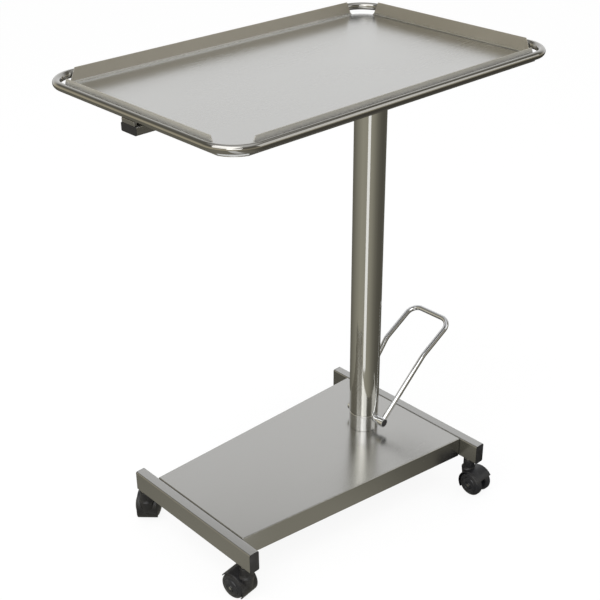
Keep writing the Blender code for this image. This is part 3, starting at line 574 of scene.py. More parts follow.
def make_moulded_group():
    """The fine spark-eroded texture of moulded plastic, with a worn, dusty mask."""
    inputs = {"Grain": (1, 1, 1), "Wear": (1, 1, 1), "Low Roughness": 0.35, "High Roughness": 0.55}
    group, entry, leave = new_group("moulded_grain", inputs, ("Roughness", "Dust", "Height"))
    grain = stretched_noise(group, entry["Grain"], 4)
    wear = stretched_noise(group, entry["Wear"], 5)
    roughness = spread(group, wear, entry["Low Roughness"], entry["High Roughness"])
    dust = smooth_step(group, wear, 0.48, 0.78)
    feed(group, leave, {"Roughness": roughness, "Dust": dust, "Height": grain})


def new_material(name):
    material = bpy.data.materials.new(name)
    material.use_nodes = True
    shader = material.node_tree.nodes["Principled BSDF"]
    return material, material.node_tree, shader


def grained(name, effect, inputs, tone, tints, strength, depth):
    """A material whose tint, gloss and bump follow one of the shared effects."""
    _material, tree, shader = new_material(name)
    group = add_node(tree, "Group", node_tree=bpy.data.node_groups[effect])
    feed(tree, group, inputs)
    grain = group.outputs
    dark, light = ((*tint, 1) for tint in tints)
    mix = add_node(tree, "Mix", {"Factor": grain[tone], "A": dark, "B": light}, data_type="RGBA")
    bump = add_node(tree, "Bump", {"Strength": strength, "Distance": depth, "Height": grain["Height"]})
    results = {"Base Color": mix.outputs["Result"], "Normal": bump.outputs["Normal"]}
    feed(tree, shader, results | {"Roughness": grain["Roughness"]})
    return shader


def steel(name, tint, roughness, stretch, cloud, bump, contrast):
    """A steel finish: scratches drawn out along the stretch's smallest axis."""
    inputs = {"Stretch": stretch, "Cloud Stretch": cloud}
    inputs |= {"Low Roughness": roughness[0], "High Roughness": roughness[1]}
    dark = [channel * (1 - contrast) for channel in tint]
    light = [min(1, channel * (1 + contrast)) for channel in tint]
    shader = grained(name, "brushed_grain", inputs, "Tone", (dark, light), bump, depth=0.0002)
    shader.inputs["Metallic"].default_value = 1


def plastic(name, tint, dusty, roughness, grain_scale, bump):
    inputs = {"Grain": (grain_scale,) * 3, "Wear": (70, 70, 70)}
    inputs |= {"Low Roughness": roughness[0], "High Roughness": roughness[1]}
    grained(name, "moulded_grain", inputs, "Dust", (tint, dusty), bump, depth=0.0003)


def finish(name):
    return bpy.data.materials[name]


class TABLE_OT_finishes(bpy.types.Operator):
    """Make the shared effects and the finishes of every piece"""

    bl_idname = "instrument_table.finishes"
    bl_label = "Finishes"

    def execute(self, context):
        tints = settings().finish
        make_brushed_group()
        make_moulded_group()
        # Name, tint, roughness range, stretch of the scratches, stretch of the clouds, bump, contrast
        steel("tray_satin", tints.tray, (0.20, 0.30), (30, 900, 900), (3, 7, 7), 0.05, 0.03)
        # Painted reflection: the walls' inside gets a warmer, darker tone than the floor of the same sheet
        steel("wall_satin", tints.wall, (0.48, 0.58), (30, 900, 900), (3, 7, 7), 0.05, 0.03)
        # Painted light: the walls' outside gets a lighter tone than the rest of the same sheet
        steel("outside_satin", tints.collar, (0.58, 0.68), (30, 900, 900), (3, 7, 7), 0.05, 0.03)
        steel("cover_satin", tints.cover, (0.18, 0.28), (30, 1000, 1000), (3, 9, 9), 0.04, 0.04)
        steel("bar_satin", tints.satin, (0.18, 0.28), (1000, 30, 1000), (9, 3, 9), 0.06, 0.05)
        steel("arm_satin", tints.satin, (0.18, 0.28), (30, 1000, 1000), (3, 9, 9), 0.06, 0.05)
        steel("collar_satin", tints.collar, (0.16, 0.26), (700, 700, 700), (20, 20, 20), 0.04, 0.05)
        steel("sleeve_polished", tints.polished, (0.06, 0.11), (500, 500, 8), (30, 30, 3), 0.02, 0.03)
        steel("ring_polished", tints.ring, (0.07, 0.13), (300, 300, 300), (20, 20, 20), 0.02, 0.03)
        steel("chrome_bright", tints.chrome, (0.03, 0.07), (200, 200, 200), (20, 20, 20), 0.01, 0.02)
        steel("machined_dull", tints.machined, (0.28, 0.42), (600, 600, 2500), (40, 40, 40), 0.08, 0.08)
        steel("bronze_turned", tints.bronze, (0.28, 0.40), (600, 2500, 600), (40, 40, 40), 0.08, 0.08)
        # Name, tint, tint where dusty, roughness range, scale of the grain, bump
        plastic("housing_paint", tints.housing, (0.2, 0.2, 0.2), (0.42, 0.6), 260, 0.25)
        plastic("black_moulded", tints.black, (0.035, 0.035, 0.037), (0.34, 0.48), 1500, 0.12)
        plastic("wheel_moulded", tints.wheel, (0.04, 0.04, 0.045), (0.26, 0.40), 900, 0.05)
        plastic("natural_moulded", tints.natural, (0.6, 0.58, 0.52), (0.4, 0.55), 900, 0.05)
        return {"FINISHED"}


class TABLE_OT_tray(bpy.types.Operator):
    """Fold the lift-out tray from one sheet"""

    bl_idname = "instrument_table.tray"
    bl_label = "Tray"

    def execute(self, context):
        sizes = settings().tray
        low, high = box_of("tray")
        floor = low.z + sizes.sheet
        reach = (high.x - sizes.sheet, high.y - sizes.sheet)
        tray = self.fold(sizes, reach, floor, high.z)
        thicken(tray, sizes.sheet)
        soften(tray, width=0.0004, degrees=50)
        shade(tray)
        settle(tray, "tray_body", "tray_steel", "tray_satin", "tray")
        # The lower part of the bend keeps the floor's finish
        bend_share = 0.8
        self.dress_walls(tray, floor + sizes.bend * bend_share)
        return {"FINISHED"}

    def fold(self, sizes, reach, floor, top):
        """The inside of the sheet: a floor with round corners and a slanted wall on each straight side."""
        plane(2, (0, 0, floor)).scale = (*reach, 1)
        tray = edit("tray_pan")
        select_all()
        bevel(sizes.corner, 16, "VERTICES", profile=0.4)
        pick("EDGE", lambda edge: edge.calc_length() > sizes.corner)
        draw_out((0, 0, top - floor))
        near_top = top - 0.001
        for run, across in ((0, 1), (1, 0)):
            edge_line = reach[across] - LEVEL
            pick("VERT", lambda vert: vert.co.z > near_top and abs(vert.co[across]) > edge_line)
            half = reach[run] - sizes.corner
            factor = [1, 1, 1]
            factor[run] = (half - sizes.slant) / half
            bpy.ops.transform.resize(value=factor)
        pick("EDGE", lambda edge: centre(edge).z < floor + LEVEL and edge.calc_length() > sizes.corner)
        bevel(sizes.bend, 5)
        leave_edit()
        return tray

    def dress_walls(self, tray, foot):
        """Gives the walls' inside a warmer, darker satin as painted reflection, and their outside a lighter
        one as painted light.
        """
        outward = 0.19

        def wall(face):
            return centre(face).z > foot

        def outside(face):
            return wall(face) and face.normal.dot(centre(face) * Vector((1, 1, 0))) > outward

        for name, chosen in (("wall_satin", wall), ("outside_satin", outside)):
            bpy.ops.object.material_slot_add()
            tray.material_slots[-1].material = finish(name)
            bpy.ops.object.mode_set(mode="EDIT")
            pick("FACE", chosen)
            bpy.ops.object.material_slot_assign()
            leave_edit()


class TABLE_OT_tray_frame(bpy.types.Operator):
    """Bend the tube frame around the tray"""

    bl_idname = "instrument_table.tray_frame"
    bl_label = "Tray Frame"

    def execute(self, context):
        low, high = box_of("tray_frame")
        diameter = high.z - low.z
        height = (low.z + high.z) / 2
        reach_x = high.x - diameter / 2
        reach_y = high.y - diameter / 2
        signs = ((1, 1), (-1, 1), (-1, -1), (1, -1))
        corners = [(x * reach_x, y * reach_y, height) for x, y in signs]
        radii = [settings().tray.frame_corner] * 4
        ring = bent_rod("frame_ring", corners, radii, diameter, closed=True, sides=32, steps=20)
        settle(ring, "carrier", "polished_steel", "ring_polished", "tray_frame")
        return {"FINISHED"}


class TABLE_OT_carrier(bpy.types.Operator):
    """Build the arms, caps, pads and saddle that carry the frame"""

    bl_idname = "instrument_table.carrier"
    bl_label = "Carrier"

    def execute(self, context):
        sizes = settings().base
        corner = sizes.arm_corner
        for node, run in (("support_arm", 0), ("cross_arm_near", 1), ("cross_arm_far", 1)):
            tube = square_tube(node + "_tube", node, run, corner, sizes.tube_wall)
            settle(tube, "carrier", "satin_steel", "bar_satin" if run else "arm_satin", node)
        caps = {
            "arm_cap_left": (-1, 0),
            "arm_cap_right": (1, 0),
            "cross_arm_cap_near": (0, -1),
            "cross_arm_cap_far": (0, 1),
        }
        for node, outward in caps.items():
            cap = end_cap(node + "_plug", node, outward, corner, sizes.tube_wall, sizes.cap_edge)
            settle(cap, "carrier", "black_plastic", "black_moulded", node)
        for node in ("frame_pad_left", "frame_pad_right"):
            settle(self.pad(node), "carrier", "satin_steel", "bar_satin", node)
        settle(self.saddle(), "carrier", "machined_steel", "machined_dull", "swivel_saddle")
        return {"FINISHED"}

    def pad(self, node):
        """A small block with round edges between the support arm and the frame tube."""
        pad = block(node + "_block", middle_of(node), size_of(node))
        select_all()
        bevel(offset=0.0007, segments=3)
        return finished(pad)

    def saddle(self):
        """A disc with a blind bore for the pin of the column head."""
        bore, depth = 0.0103, 0.0067
        radius, foot, top = round_of("swivel_saddle")
        roof = foot + depth
        section = [(0, top), (radius, top), (radius, foot), (bore, foot), (bore, roof), (0, roof)]
        saddle = turned("saddle_disc", section, 96, {1: 0.001, 2: 0.0015, 3: 0.0005})
        return put(saddle, COLUMN_AXIS)


class TABLE_OT_column(bpy.types.Operator):
    """Turn the sleeve, the inner column, its collar and its head"""

    bl_idname = "instrument_table.column"
    bl_label = "Column"

    def execute(self, context):
        sizes = settings().column
        sleeve = self.tube("sleeve_tube", "post_sleeve", sizes.wall, sizes.edge)
        settle(sleeve, "carriage", "polished_steel", "sleeve_polished", "post_sleeve")
        column = self.tube("column_tube", "inner_column", sizes.inner_wall, sizes.edge)
        self.shaft_hole(column, diameter=0.014)
        settle(column, "base", "chrome", "sleeve_polished", "inner_column")
        collar = self.collar(sizes.collar_edge)
        self.shaft_hole(collar, diameter=0.0146)
        settle(collar, "base", "satin_steel", "collar_satin", "post_collar")
        settle(self.head(sizes), "carriage", "machined_steel", "machined_dull", "column_head")
        return {"FINISHED"}

    def tube(self, name, node, wall, edge):
        outer, foot, top = round_of(node)
        section = ring_section(outer, outer - wall, top, foot)
        tube = turned(name, section, 128, dict.fromkeys(range(4), edge), closed=True)
        return put(tube, COLUMN_AXIS)

    def shaft_hole(self, piece, diameter):
        """Bores the piece through for the pedal's shaft."""
        carve(piece, cylinder(48, diameter / 2, depth=0.08, place=PEDAL_AXIS, turn=ALONG_Y))
        shade(piece)

    def collar(self, rim):
        outer, foot, top = round_of("post_collar")
        inner = size_of("inner_column").x / 2 + SEAT_GAP
        section = ring_section(outer, inner, top, foot)
        collar = turned("collar_ring", section, 128, {0: rim, 1: rim / 3, 3: rim / 3}, closed=True)
        return put(collar, COLUMN_AXIS)

    def head(self, sizes):
        """A plug in the sleeve's top, with a pin for the saddle above and a blind bore for the ram below."""
        pin, pin_gap = 0.010, 0.0005
        ram_bore, ram_depth = 0.0113, 0.025
        outer, foot, top = round_of("column_head")
        spigot = outer - sizes.wall - SEAT_GAP
        pin_foot = box_of("swivel_saddle")[0].z - pin_gap
        seat = box_of("post_sleeve")[1].z + SEAT_GAP
        section = [(0, top), (pin, top), (pin, pin_foot), (outer, pin_foot), (outer, seat)]
        section += [(spigot, seat), (spigot, foot)]
        section += [(ram_bore, foot), (ram_bore, foot + ram_depth), (0, foot + ram_depth)]
        head = turned("head_plug", section, 96, {1: 0.0008, 3: 0.0008, 4: 0.0006, 6: 0.001})
        return put(head, COLUMN_AXIS)


class TABLE_OT_base(bpy.types.Operator):
    """Fold the base cover and build the bars and their caps"""

    bl_idname = "instrument_table.base"
    bl_label = "Base"

    def execute(self, context):
        sizes = settings().base
        corner, wall = sizes.tube_corner, sizes.tube_wall
        settle(self.cover(sizes), "base", "satin_steel", "cover_satin", "base_cover")
        for node in ("left_bar", "right_bar"):
            bar = square_tube(node + "_tube", node, 1, corner, wall)
            settle(bar, "base", "satin_steel", "bar_satin", node)
        for place in CORNERS:
            node = place + "_bar_cap"
            outward = (0, 1 if place.endswith("far") else -1)
            cap = end_cap(node + "_plug", node, outward, corner, wall, sizes.cap_edge)
            settle(cap, "base", "black_plastic", "black_moulded", node)
        return {"FINISHED"}

    def cover(self, sizes):
        """A folded lid, narrower at its left end, with a round hole under the column."""
        low, high = box_of("base_cover")
        middle = (low + high) / 2
        flare = box_of("left_bar")[0].y - box_of("right_bar")[0].y
        sheet = plane(1, (middle.x, middle.y, high.z))
        sheet.scale = (high.x - low.x, high.y - low.y, 1)
        cover = edit("cover_sheet")
        pick("VERT", lambda vert: vert.co.x < middle.x and vert.co.y < middle.y)
        bpy.ops.transform.translate(value=(0, flare, 0))
        pick("EDGE", lambda edge: True)
        draw_out((0, 0, low.z - high.z))
        pick("EDGE", lambda edge: centre(edge).z > high.z - LEVEL or along(edge, 2))
        bevel(sizes.fold, 5)
        select_all()
        bpy.ops.mesh.normals_make_consistent(inside=False)
        leave_edit()
        thicken(cover, sizes.sheet)
        hole = size_of("inner_column").x / 2 - settings().column.inner_wall
        carve(cover, cylinder(64, hole, depth=0.01, place=(COLUMN_AXIS.x, COLUMN_AXIS.y, high.z)))
        shade(cover)
        return cover


class TABLE_OT_pedal(bpy.types.Operator):
    """Bend the pedal and turn its hubs, shaft, bushes and caps"""

    bl_idname = "instrument_table.pedal"
    bl_label = "Pedal"

    def execute(self, context):
        sizes = settings().pedal
        settle(self.fork(sizes), "pedal", "chrome", "chrome_bright", "pedal_fork")
        settle(self.shaft(), "pedal", "chrome", "chrome_bright", "pedal_shaft")
        for end, side in (("far", 1), ("near", -1)):
            node = "shaft_cap_" + end
            settle(self.cap(node, side), "pedal", "black_plastic", "black_moulded", node)
            node = "shaft_bush_" + end
            settle(self.bush(node, side, sizes.bore), "base", "chrome", "chrome_bright", node)
        return {"FINISHED"}

    def lay_down(self, piece, side):
        """Lays a turned piece along the shaft, its top to the far (1) or the near (-1) side."""
        return put(piece, PEDAL_AXIS, (-side * QUARTER_TURN, 0, 0))

    def fork(self, sizes):
        """The bow, with an arm on each hub that spreads towards the knee."""
        hub_to_rod = 0.0072
        rise = Vector((math.cos(sizes.lower_angle), 0, math.sin(sizes.lower_angle)))
        knee = PEDAL_AXIS + sizes.lower_arm * rise
        slope = Vector((math.cos(sizes.upper_angle), 0, math.sin(sizes.upper_angle)))
        tip = knee + sizes.upper_arm * slope
        offsets = {1: sizes.far_hub, -1: sizes.near_hub}
        far = Vector((0, sizes.half_width, 0))
        feet = {}
        for side, offset in offsets.items():
            place = PEDAL_AXIS + Vector((0, side * offset, 0))
            feet[side] = place + (knee + side * far - place).normalized() * hub_to_rod
        corners = [feet[-1], knee - far, tip - far, tip + far, knee + far, feet[1]]
        radii = [sizes.knee, sizes.corner, sizes.corner, sizes.knee]
        bow = bent_rod("pedal_bow", corners, radii, sizes.rod)
        hubs = [self.hub(sizes, side, offset) for side, offset in offsets.items()]
        choose(bow)
        for hub in hubs:
            hub.select_set(True)
        bpy.ops.object.join()
        shade(bow)
        return bow

    def hub(self, sizes, side, offset):
        """A turned hub with a shallow seat for the cap in its outer face."""
        seat_depth, seat_radius = 0.0018, 0.0076
        radius, bore = sizes.hub / 2, sizes.bore / 2
        inside = offset - sizes.hub_width / 2
        outside = offset + sizes.hub_width / 2
        seat = outside - seat_depth
        section = [(radius, outside), (radius, inside), (bore, inside)]
        section += [(bore, seat), (seat_radius, seat), (seat_radius, outside)]
        hub = turned("pedal_hub", section, 64, {0: 0.0006, 1: 0.0012, 5: 0.0002}, closed=True)
        return self.lay_down(hub, side)

    def shaft(self):
        low, high = box_of("pedal_shaft")
        radius = (high.z - low.z) / 2
        section = [(0, high.y), (radius, high.y), (radius, low.y), (0, low.y)]
        return self.lay_down(turned("pedal_axle", section, 48, {1: 0.0005, 2: 0.0005}), 1)

    def cap(self, node, side):
        """A plastic button that lies flush in the hub, with its stub in the end of the shaft."""
        thickness, stub, stub_length = 0.0015, 0.0025, 0.006
        dish, groove = 0.0002, 0.0005
        low, high = box_of(node)
        radius = (high.x - low.x) / 2
        top = max(abs(low.y), abs(high.y))
        rim = top - thickness
        section = [(0, top - dish), (radius * 0.60, top - dish)]
        section += [(radius * 0.64, top - groove), (radius * 0.72, top - groove)]
        section += [(radius * 0.76, top), (radius, top), (radius, rim)]
        section += [(stub, rim), (stub, rim - stub_length), (0, rim - stub_length)]
        cap = turned(node + "_button", section, 48, {1: 0.0001, 4: 0.0001, 5: 0.0004})
        return self.lay_down(cap, side)

    def bush(self, node, side, bore):
        low, high = box_of(node)
        inside, outside = sorted((abs(low.y), abs(high.y)))
        section = ring_section((high.x - low.x) / 2, bore / 2, outside, inside)
        bush = turned(node + "_ring", section, 64, {0: 0.0008, 3: 0.0004}, closed=True)
        return self.lay_down(bush, side)


class TABLE_OT_castors(bpy.types.Operator):
    """Model one castor and set a copy at each corner"""

    bl_idname = "instrument_table.castors"
    bl_label = "Castors"

    def execute(self, context):
        sizes = settings().castor
        # Pattern, body, material slot and finish of each part
        parts = {
            "hood": (self.hood(sizes), "{}_castor", "black_plastic", "black_moulded"),
            "wheel_a": (self.wheel(sizes, 1), "{}_roller_a", "wheel_plastic", "wheel_moulded"),
            "wheel_b": (self.wheel(sizes, -1), "{}_roller_b", "wheel_plastic", "wheel_moulded"),
            "axle": (self.axle(sizes), "{}_castor", "machined_steel", "machined_dull"),
            "stem": (self.stem(), "base", "machined_steel", "machined_dull"),
        }
        for corner in CORNERS:
            stem = Vector(joint_place(corner + "_swivel"))
            roll = Vector(joint_place(corner + "_roll_a"))
            turn = math.atan2(roll.y - stem.y, roll.x - stem.x)
            for part, (pattern, body, slot, look) in parts.items():
                piece = copy_of(pattern, f"castor_{corner}_{part}")
                put(piece, (stem.x, stem.y, 0), (0, 0, turn))
                settle(piece, body.format(corner), slot, look, f"{corner}_{part}")
        for pattern, *_rest in parts.values():
            remove(pattern)
        return {"FINISHED"}

    def across(self, piece, sizes, side=1):
        """Lays a turned piece along the axle."""
        return put(piece, (sizes.trail, 0, AXLE_HEIGHT), (-side * QUARTER_TURN, 0, 0))

    def wheel(self, sizes, side):
        """A domed disc with a hub boss, two ring grooves and a rounded tread."""
        tread_chamfer, packed_sides = 0.003, 26
        bore = sizes.axle_bore / 2
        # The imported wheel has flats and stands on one, so this one reaches only as far as they do
        radius = sizes.wheel / 2 * math.cos(math.pi / packed_sides)
        rim = radius - tread_chamfer
        inner = sizes.web / 2 + sizes.web_room
        outer = inner + sizes.width
        # Radius of each ring on the outer face, and how far it is sunk below the dome
        rings = ((bore, 0.0006), (0.0062, 0.0002), (0.0070, 0.0012), (0.0078, 0.0002), (0.0100, 0))
        rings += ((0.0125, 0), (0.0150, 0), (0.0160, 0.0010), (0.0170, 0.0002), (rim, 0))
        section = [(ring, outer + sizes.dome * (1 - (ring / rim) ** 2) - sunk) for ring, sunk in rings]
        section += [(radius, outer - tread_chamfer), (radius, inner + tread_chamfer)]
        section += [(rim, inner), (bore, inner)]
        last = len(section) - 1
        rounds = {last - 4: 0.0012, last - 3: 0.0015, last - 2: 0.0015, last - 1: 0.001}
        return self.across(turned("wheel_disc", section, 72, rounds, closed=True), sizes, side)

    def axle(self, sizes):
        """The axle, which ends a little inside the crown of each wheel."""
        sunk = 0.001
        radius = sizes.axle / 2
        half = sizes.web / 2 + sizes.web_room + sizes.width + sizes.dome - sunk
        section = [(0, half), (radius, half), (radius, -half), (0, -half)]
        return self.across(turned("wheel_axle", section, 32, {1: 0.0004, 2: 0.0004}), sizes)

    def stem(self):
        """The castor's stem: a flange under the bar, a pin in the boss and the end above."""
        end, pin, thickness = 0.005, 0.004, 0.0015
        flange, foot, top = round_of("left_near_stem")
        seat = box_of("left_bar")[0].z - SEAT_GAP
        under = seat - thickness
        section = [(0, top), (end, top), (end, seat), (flange, seat), (flange, under)]
        section += [(pin, under), (pin, foot), (0, foot)]
        return turned("castor_stem", section, 48, {1: 0.0008, 3: 0.0004, 4: 0.0004, 6: 0.0005})

    def hood(self, sizes):
        """A round hood over both wheels with the web between them and the neck on top."""
        web_radius, web_edge = 0.013, 0.0005
        stem_bore, stem_depth = 0.0043, 0.0355
        room = sizes.wheel / 2 + sizes.hood_room
        outer = room + sizes.hood_wall
        width = sizes.web + 2 * (sizes.web_room + sizes.width)
        place = (sizes.trail, 0, AXLE_HEIGHT)
        top = box_of("left_near_hood")[1].z
        cylinder(96, outer, width, place, ALONG_Y)
        hood = edit("castor_hood")
        pick("FACE", lambda face: abs(face.normal.y) > STRAIGHT)
        bevel(offset=0.002, segments=3)
        open_side = Vector((math.sin(sizes.hood_tilt), 0, -math.cos(sizes.hood_tilt)))
        select_all()
        bpy.ops.mesh.bisect(plane_co=place, plane_no=open_side, clear_outer=True, use_fill=True)
        leave_edit()
        carve(hood, cylinder(64, web_radius, sizes.web - 2 * web_edge, place, ALONG_Y), "UNION")
        carve(hood, self.neck(sizes, top, outer), "UNION")
        for side in (1, -1):
            wheel_room = (sizes.trail, side * (sizes.web / 2 + width / 2), AXLE_HEIGHT)
            carve(hood, cylinder(96, room, width, wheel_room, ALONG_Y))
        carve(hood, cylinder(32, sizes.axle_bore / 2, width, place, ALONG_Y))
        carve(hood, cylinder(32, stem_bore, stem_depth, (0, 0, top)))
        soften(hood, width=0.0005, degrees=40)
        shade(hood)
        return hood

    def neck(self, sizes, top, hood):
        """The boss that takes the stem, with a skirt down to the hood's outside."""
        skirt, step = 0.003, 0.0005
        boss = sizes.boss / 2
        crown = AXLE_HEIGHT + hood
        section = [(0, top), (boss, top), (boss, crown + step), (boss + skirt, crown - skirt)]
        section += [(boss, AXLE_HEIGHT), (0, AXLE_HEIGHT)]
        return turned("castor_neck", section, 64, {1: 0.001, 2: 0.002})


class TABLE_OT_pump(bpy.types.Operator):
    """Turn the pump body under the cover and bolt its flange"""

    bl_idname = "instrument_table.pump"
    bl_label = "Pump"

    def execute(self, context):
        flange_thickness, bolts, bolt_circle = 0.006, 6, 0.0412
        flange_foot = box_of("pump_body")[1].z - flange_thickness
        settle(self.pot(flange_foot), "base", "cast_housing", "housing_paint", "pump_body")
        pattern = self.bolt()
        for number in range(bolts):
            heading = (number + 0.5) * 2 * math.pi / bolts
            place = COLUMN_AXIS + bolt_circle * Vector((math.cos(heading), math.sin(heading), 0))
            bolt = copy_of(pattern, f"pump_bolt_{number}")
            put(bolt, (place.x, place.y, flange_foot), (0, 0, heading))
            settle(bolt, "base", "machined_steel", "machined_dull")
        remove(pattern)
        return {"FINISHED"}

    def pot(self, flange_foot):
        """A turned pot with a flange on top, a smaller foot, and a well for the plunger."""
        body, foot, foot_top, shoulder = 0.036, 0.032, 0.008, 0.012
        well_radius, well_depth, well_from_pivot = 0.0063, 0.04, 0.009852
        flange, low, top = round_of("pump_body")
        section = [(0, top), (flange, top), (flange, flange_foot), (body, flange_foot)]
        section += [(body, low + shoulder), (foot, low + foot_top), (foot, low), (0, low)]
        rounds = {1: 0.001, 2: 0.0015, 3: 0.003, 4: 0.001, 5: 0.001, 6: 0.003}
        pot = put(turned("pump_pot", section, 96, rounds), COLUMN_AXIS)
        well = (joint_place("pedal_pivot")[0] + well_from_pivot, 0, top - well_depth / 2)
        carve(pot, cylinder(48, well_radius, well_depth, well))
        shade(pot)
        return pot

    def bolt(self):
        """A hexagon bolt head that hangs under the flange, its lower edges rounded."""
        radius, thickness, middle = 0.0042, 0.0035, -0.0019
        cylinder(6, radius, thickness, (0, 0, middle))
        bolt = edit("hex_head")
        pick("FACE", lambda face: face.normal.z < -STRAIGHT)
        bevel(offset=0.0006, segments=2)
        return finished(bolt)


class TABLE_OT_inner_pieces(bpy.types.Operator):
    """Give the pieces inside the column and pump their finishes"""

    bl_idname = "instrument_table.inner_pieces"
    bl_label = "Inner Pieces"

    def execute(self, context):
        dull = ("column_foot_plug", "ram_piston", "pedal_cam", "pump_plunger", "plunger_spring")
        looks = dict.fromkeys(dull, "machined_dull")
        looks |= {"column_gland": "bronze_turned", "slide_bush": "natural_moulded"}
        looks["lift_ram"] = "chrome_bright"
        for node, look in looks.items():
            materials = frame["nodes"][node].data.materials
            materials.clear()
            materials.append(finish(look))
        return {"FINISHED"}


class TABLE_OT_stage(bpy.types.Operator):
    """Set up the floor, the soft lamps, the cards and the camera"""

    bl_idname = "instrument_table.stage"
    bl_label = "Stage"

    def execute(self, context):
        look = settings().stage
        scene = context.scene
        scene.view_settings.view_transform = "Standard"
        self.world(scene)
        self.floor(look)
        self.mat(look)
        self.strip()
        self.window()
        self.wall(look)
        self.lamps(look)
        self.camera(scene)
        return {"FINISHED"}

    def seen(self, tree):
        """1 for rays that show the background: from the camera, mirrored or through glass."""
        path = add_node(tree, "LightPath").outputs
        total = path["Is Camera Ray"]
        for label in ("Is Glossy Ray", "Is Transmission Ray"):
            either = add_node(tree, "Math", {0: total, 1: path[label]}, operation="MAXIMUM")
            total = either.outputs["Value"]
        return total

    def world(self, scene):
        """A white surround that gives less light than it shows."""
        world = bpy.data.worlds.new("studio")
        scene.world = world
        world.use_nodes = True
        tree = world.node_tree
        level = add_node(tree, "MapRange", {"Value": self.seen(tree), "To Min": 0.65, "To Max": 1.0})
        inputs = {"Color": (1, 1, 1, 1), "Strength": level.outputs["Result"]}
        feed(tree, tree.nodes["Background"], inputs)

    def floor(self, look):
        """A pale floor that shows white, with the table's shadow on it."""
        floor = plane(16)
        floor.name = "studio_floor"
        material, tree, shader = new_material("studio_floor")
        feed(tree, shader, {"Base Color": (*look.floor, 1), "Roughness": 0.9, "Specular IOR Level": 0.1})
        lit = add_node(tree, "BsdfDiffuse", {"Color": (0.13, 0.13, 0.13, 1)})
        glow = add_node(tree, "Emission", {"Strength": 0.90})
        paper = add_node(tree, "AddShader", {0: lit.outputs["BSDF"], 1: glow.outputs["Emission"]})
        sides = {1: shader.outputs["BSDF"], 2: paper.outputs["Shader"]}
        mix = add_node(tree, "MixShader", {"Fac": self.seen(tree)} | sides)
        feed(tree, tree.nodes["Material Output"], {"Surface": mix.outputs["Shader"]})
        floor.data.materials.append(material)

    def glowing_card(self, card, name, strength=1.0):
        """A studio card that shows in the steel but not in the picture itself."""
        card.name = name
        material, tree, shader = new_material(name)
        tree.nodes.remove(shader)
        glow = add_node(tree, "Emission", {"Strength": strength})
        feed(tree, tree.nodes["Material Output"], {"Surface": glow.outputs["Emission"]})
        card.data.materials.append(material)
        card.visible_camera = False
        card.visible_diffuse = False
        card.visible_shadow = False
        return tree, glow

    def mat(self, look):
        """A round mat about the column's foot, lighter towards the camera's left and dark at its right."""
        deselect()
        place = (COLUMN_AXIS.x, COLUMN_AXIS.y, 0.002)
        bpy.ops.mesh.primitive_circle_add(vertices=96, radius=7, fill_type="NGON", location=place)
        tree, glow = self.glowing_card(bpy.context.object, "studio_mat")
        # Share of a turn about the column, and the mat's lightness there
        shares = ((0, 0.2), (0.144, 0.35), (0.253, 0.7), (0.36, 1.0), (0.52, 0.95), (0.572, 0.76))
        shares += ((0.617, 0.52), (0.639, 0.40), (0.711, 0.18), (0.80, 0.10), (1, 0.2))
        stops = [(at, Vector(look.dark_mat).lerp(Vector(look.mat), share)) for at, share in shares]
        spot = add_node(tree, "TexCoord").outputs["Object"]
        turn = add_node(tree, "Mapping", {"Vector": spot, "Rotation": (0, 0, -VIEW_ANGLE)})
        inputs = {"Vector": turn.outputs["Vector"]}
        gradient = add_node(tree, "TexGradient", inputs, gradient_type="RADIAL")
        feed(tree, glow, {"Color": self.ramp(tree, gradient.outputs["Fac"], stops)})

    def strip(self):
        """A white strip on the mat, which draws the bright line down the polished column."""
        near, far, height = 0.42, 6.5, 0.004
        half_angle = math.radians(9)
        heading = VIEW_ANGLE - math.radians(7)
        plane(2)
        strip = edit("studio_strip")
        for end, reach in ((1, far), (-1, near)):
            pick("VERT", lambda vert: vert.co.x * end > 0)
            bpy.ops.transform.resize(value=(1, reach * math.tan(half_angle), 1))
            bpy.ops.transform.translate(value=(reach - end, 0, 0))
        leave_edit()
        put(strip, COLUMN_AXIS + Vector((0, 0, height)), (0, 0, heading))
        self.glowing_card(strip, "studio_strip", strength=1.1)

    def window(self):
        """A bright window behind the photographer, which the plate sends on to the foot of the column."""
        distance, rise = 4.2, math.radians(33)
        heading = VIEW_ANGLE - math.radians(2)
        level = Vector((math.cos(heading), math.sin(heading), 0))
        aim = level * math.cos(rise) + Vector((0, 0, math.sin(rise)))
        window = plane(1)
        window.scale = (2.4, 1.6, 1)
        window.rotation_euler = (-aim).to_track_quat("Z", "Y").to_euler()
        window.location = COLUMN_AXIS + distance * aim
        self.glowing_card(window, "studio_window", strength=2.4)

    def wall(self, look):
        """A round wall and ceiling: cream on the photographer's side, white on the far side, dim above."""
        radius, opening = 6, -5
        towards = Vector((math.cos(VIEW_ANGLE), math.sin(VIEW_ANGLE), 0))
        deselect()
        bpy.ops.mesh.primitive_uv_sphere_add(segments=64, ring_count=32, radius=radius)
        wall = edit("studio_wall")
        pick("FACE", lambda face: centre(face).z < 0 or centre(face).dot(towards) < opening)
        bpy.ops.mesh.delete(type="FACE")
        leave_edit()
        tree, glow = self.glowing_card(wall, "studio_wall")
        spot = add_node(tree, "TexCoord").outputs["Object"]
        unit = add_node(tree, "VectorMath", {0: spot}, operation="NORMALIZE").outputs["Vector"]
        height = add_node(tree, "SeparateXYZ", {"Vector": unit}).outputs["Z"]

        def share(way, low, high):
            dot = add_node(tree, "VectorMath", {0: unit, 1: way}, operation="DOT_PRODUCT")
            return smooth_step(tree, dot.outputs["Value"], low, high)

        def blend(factor, first, second):
            inputs = {"Factor": factor, "A": first, "B": second}
            return add_node(tree, "Mix", inputs, data_type="RGBA").outputs["Result"]

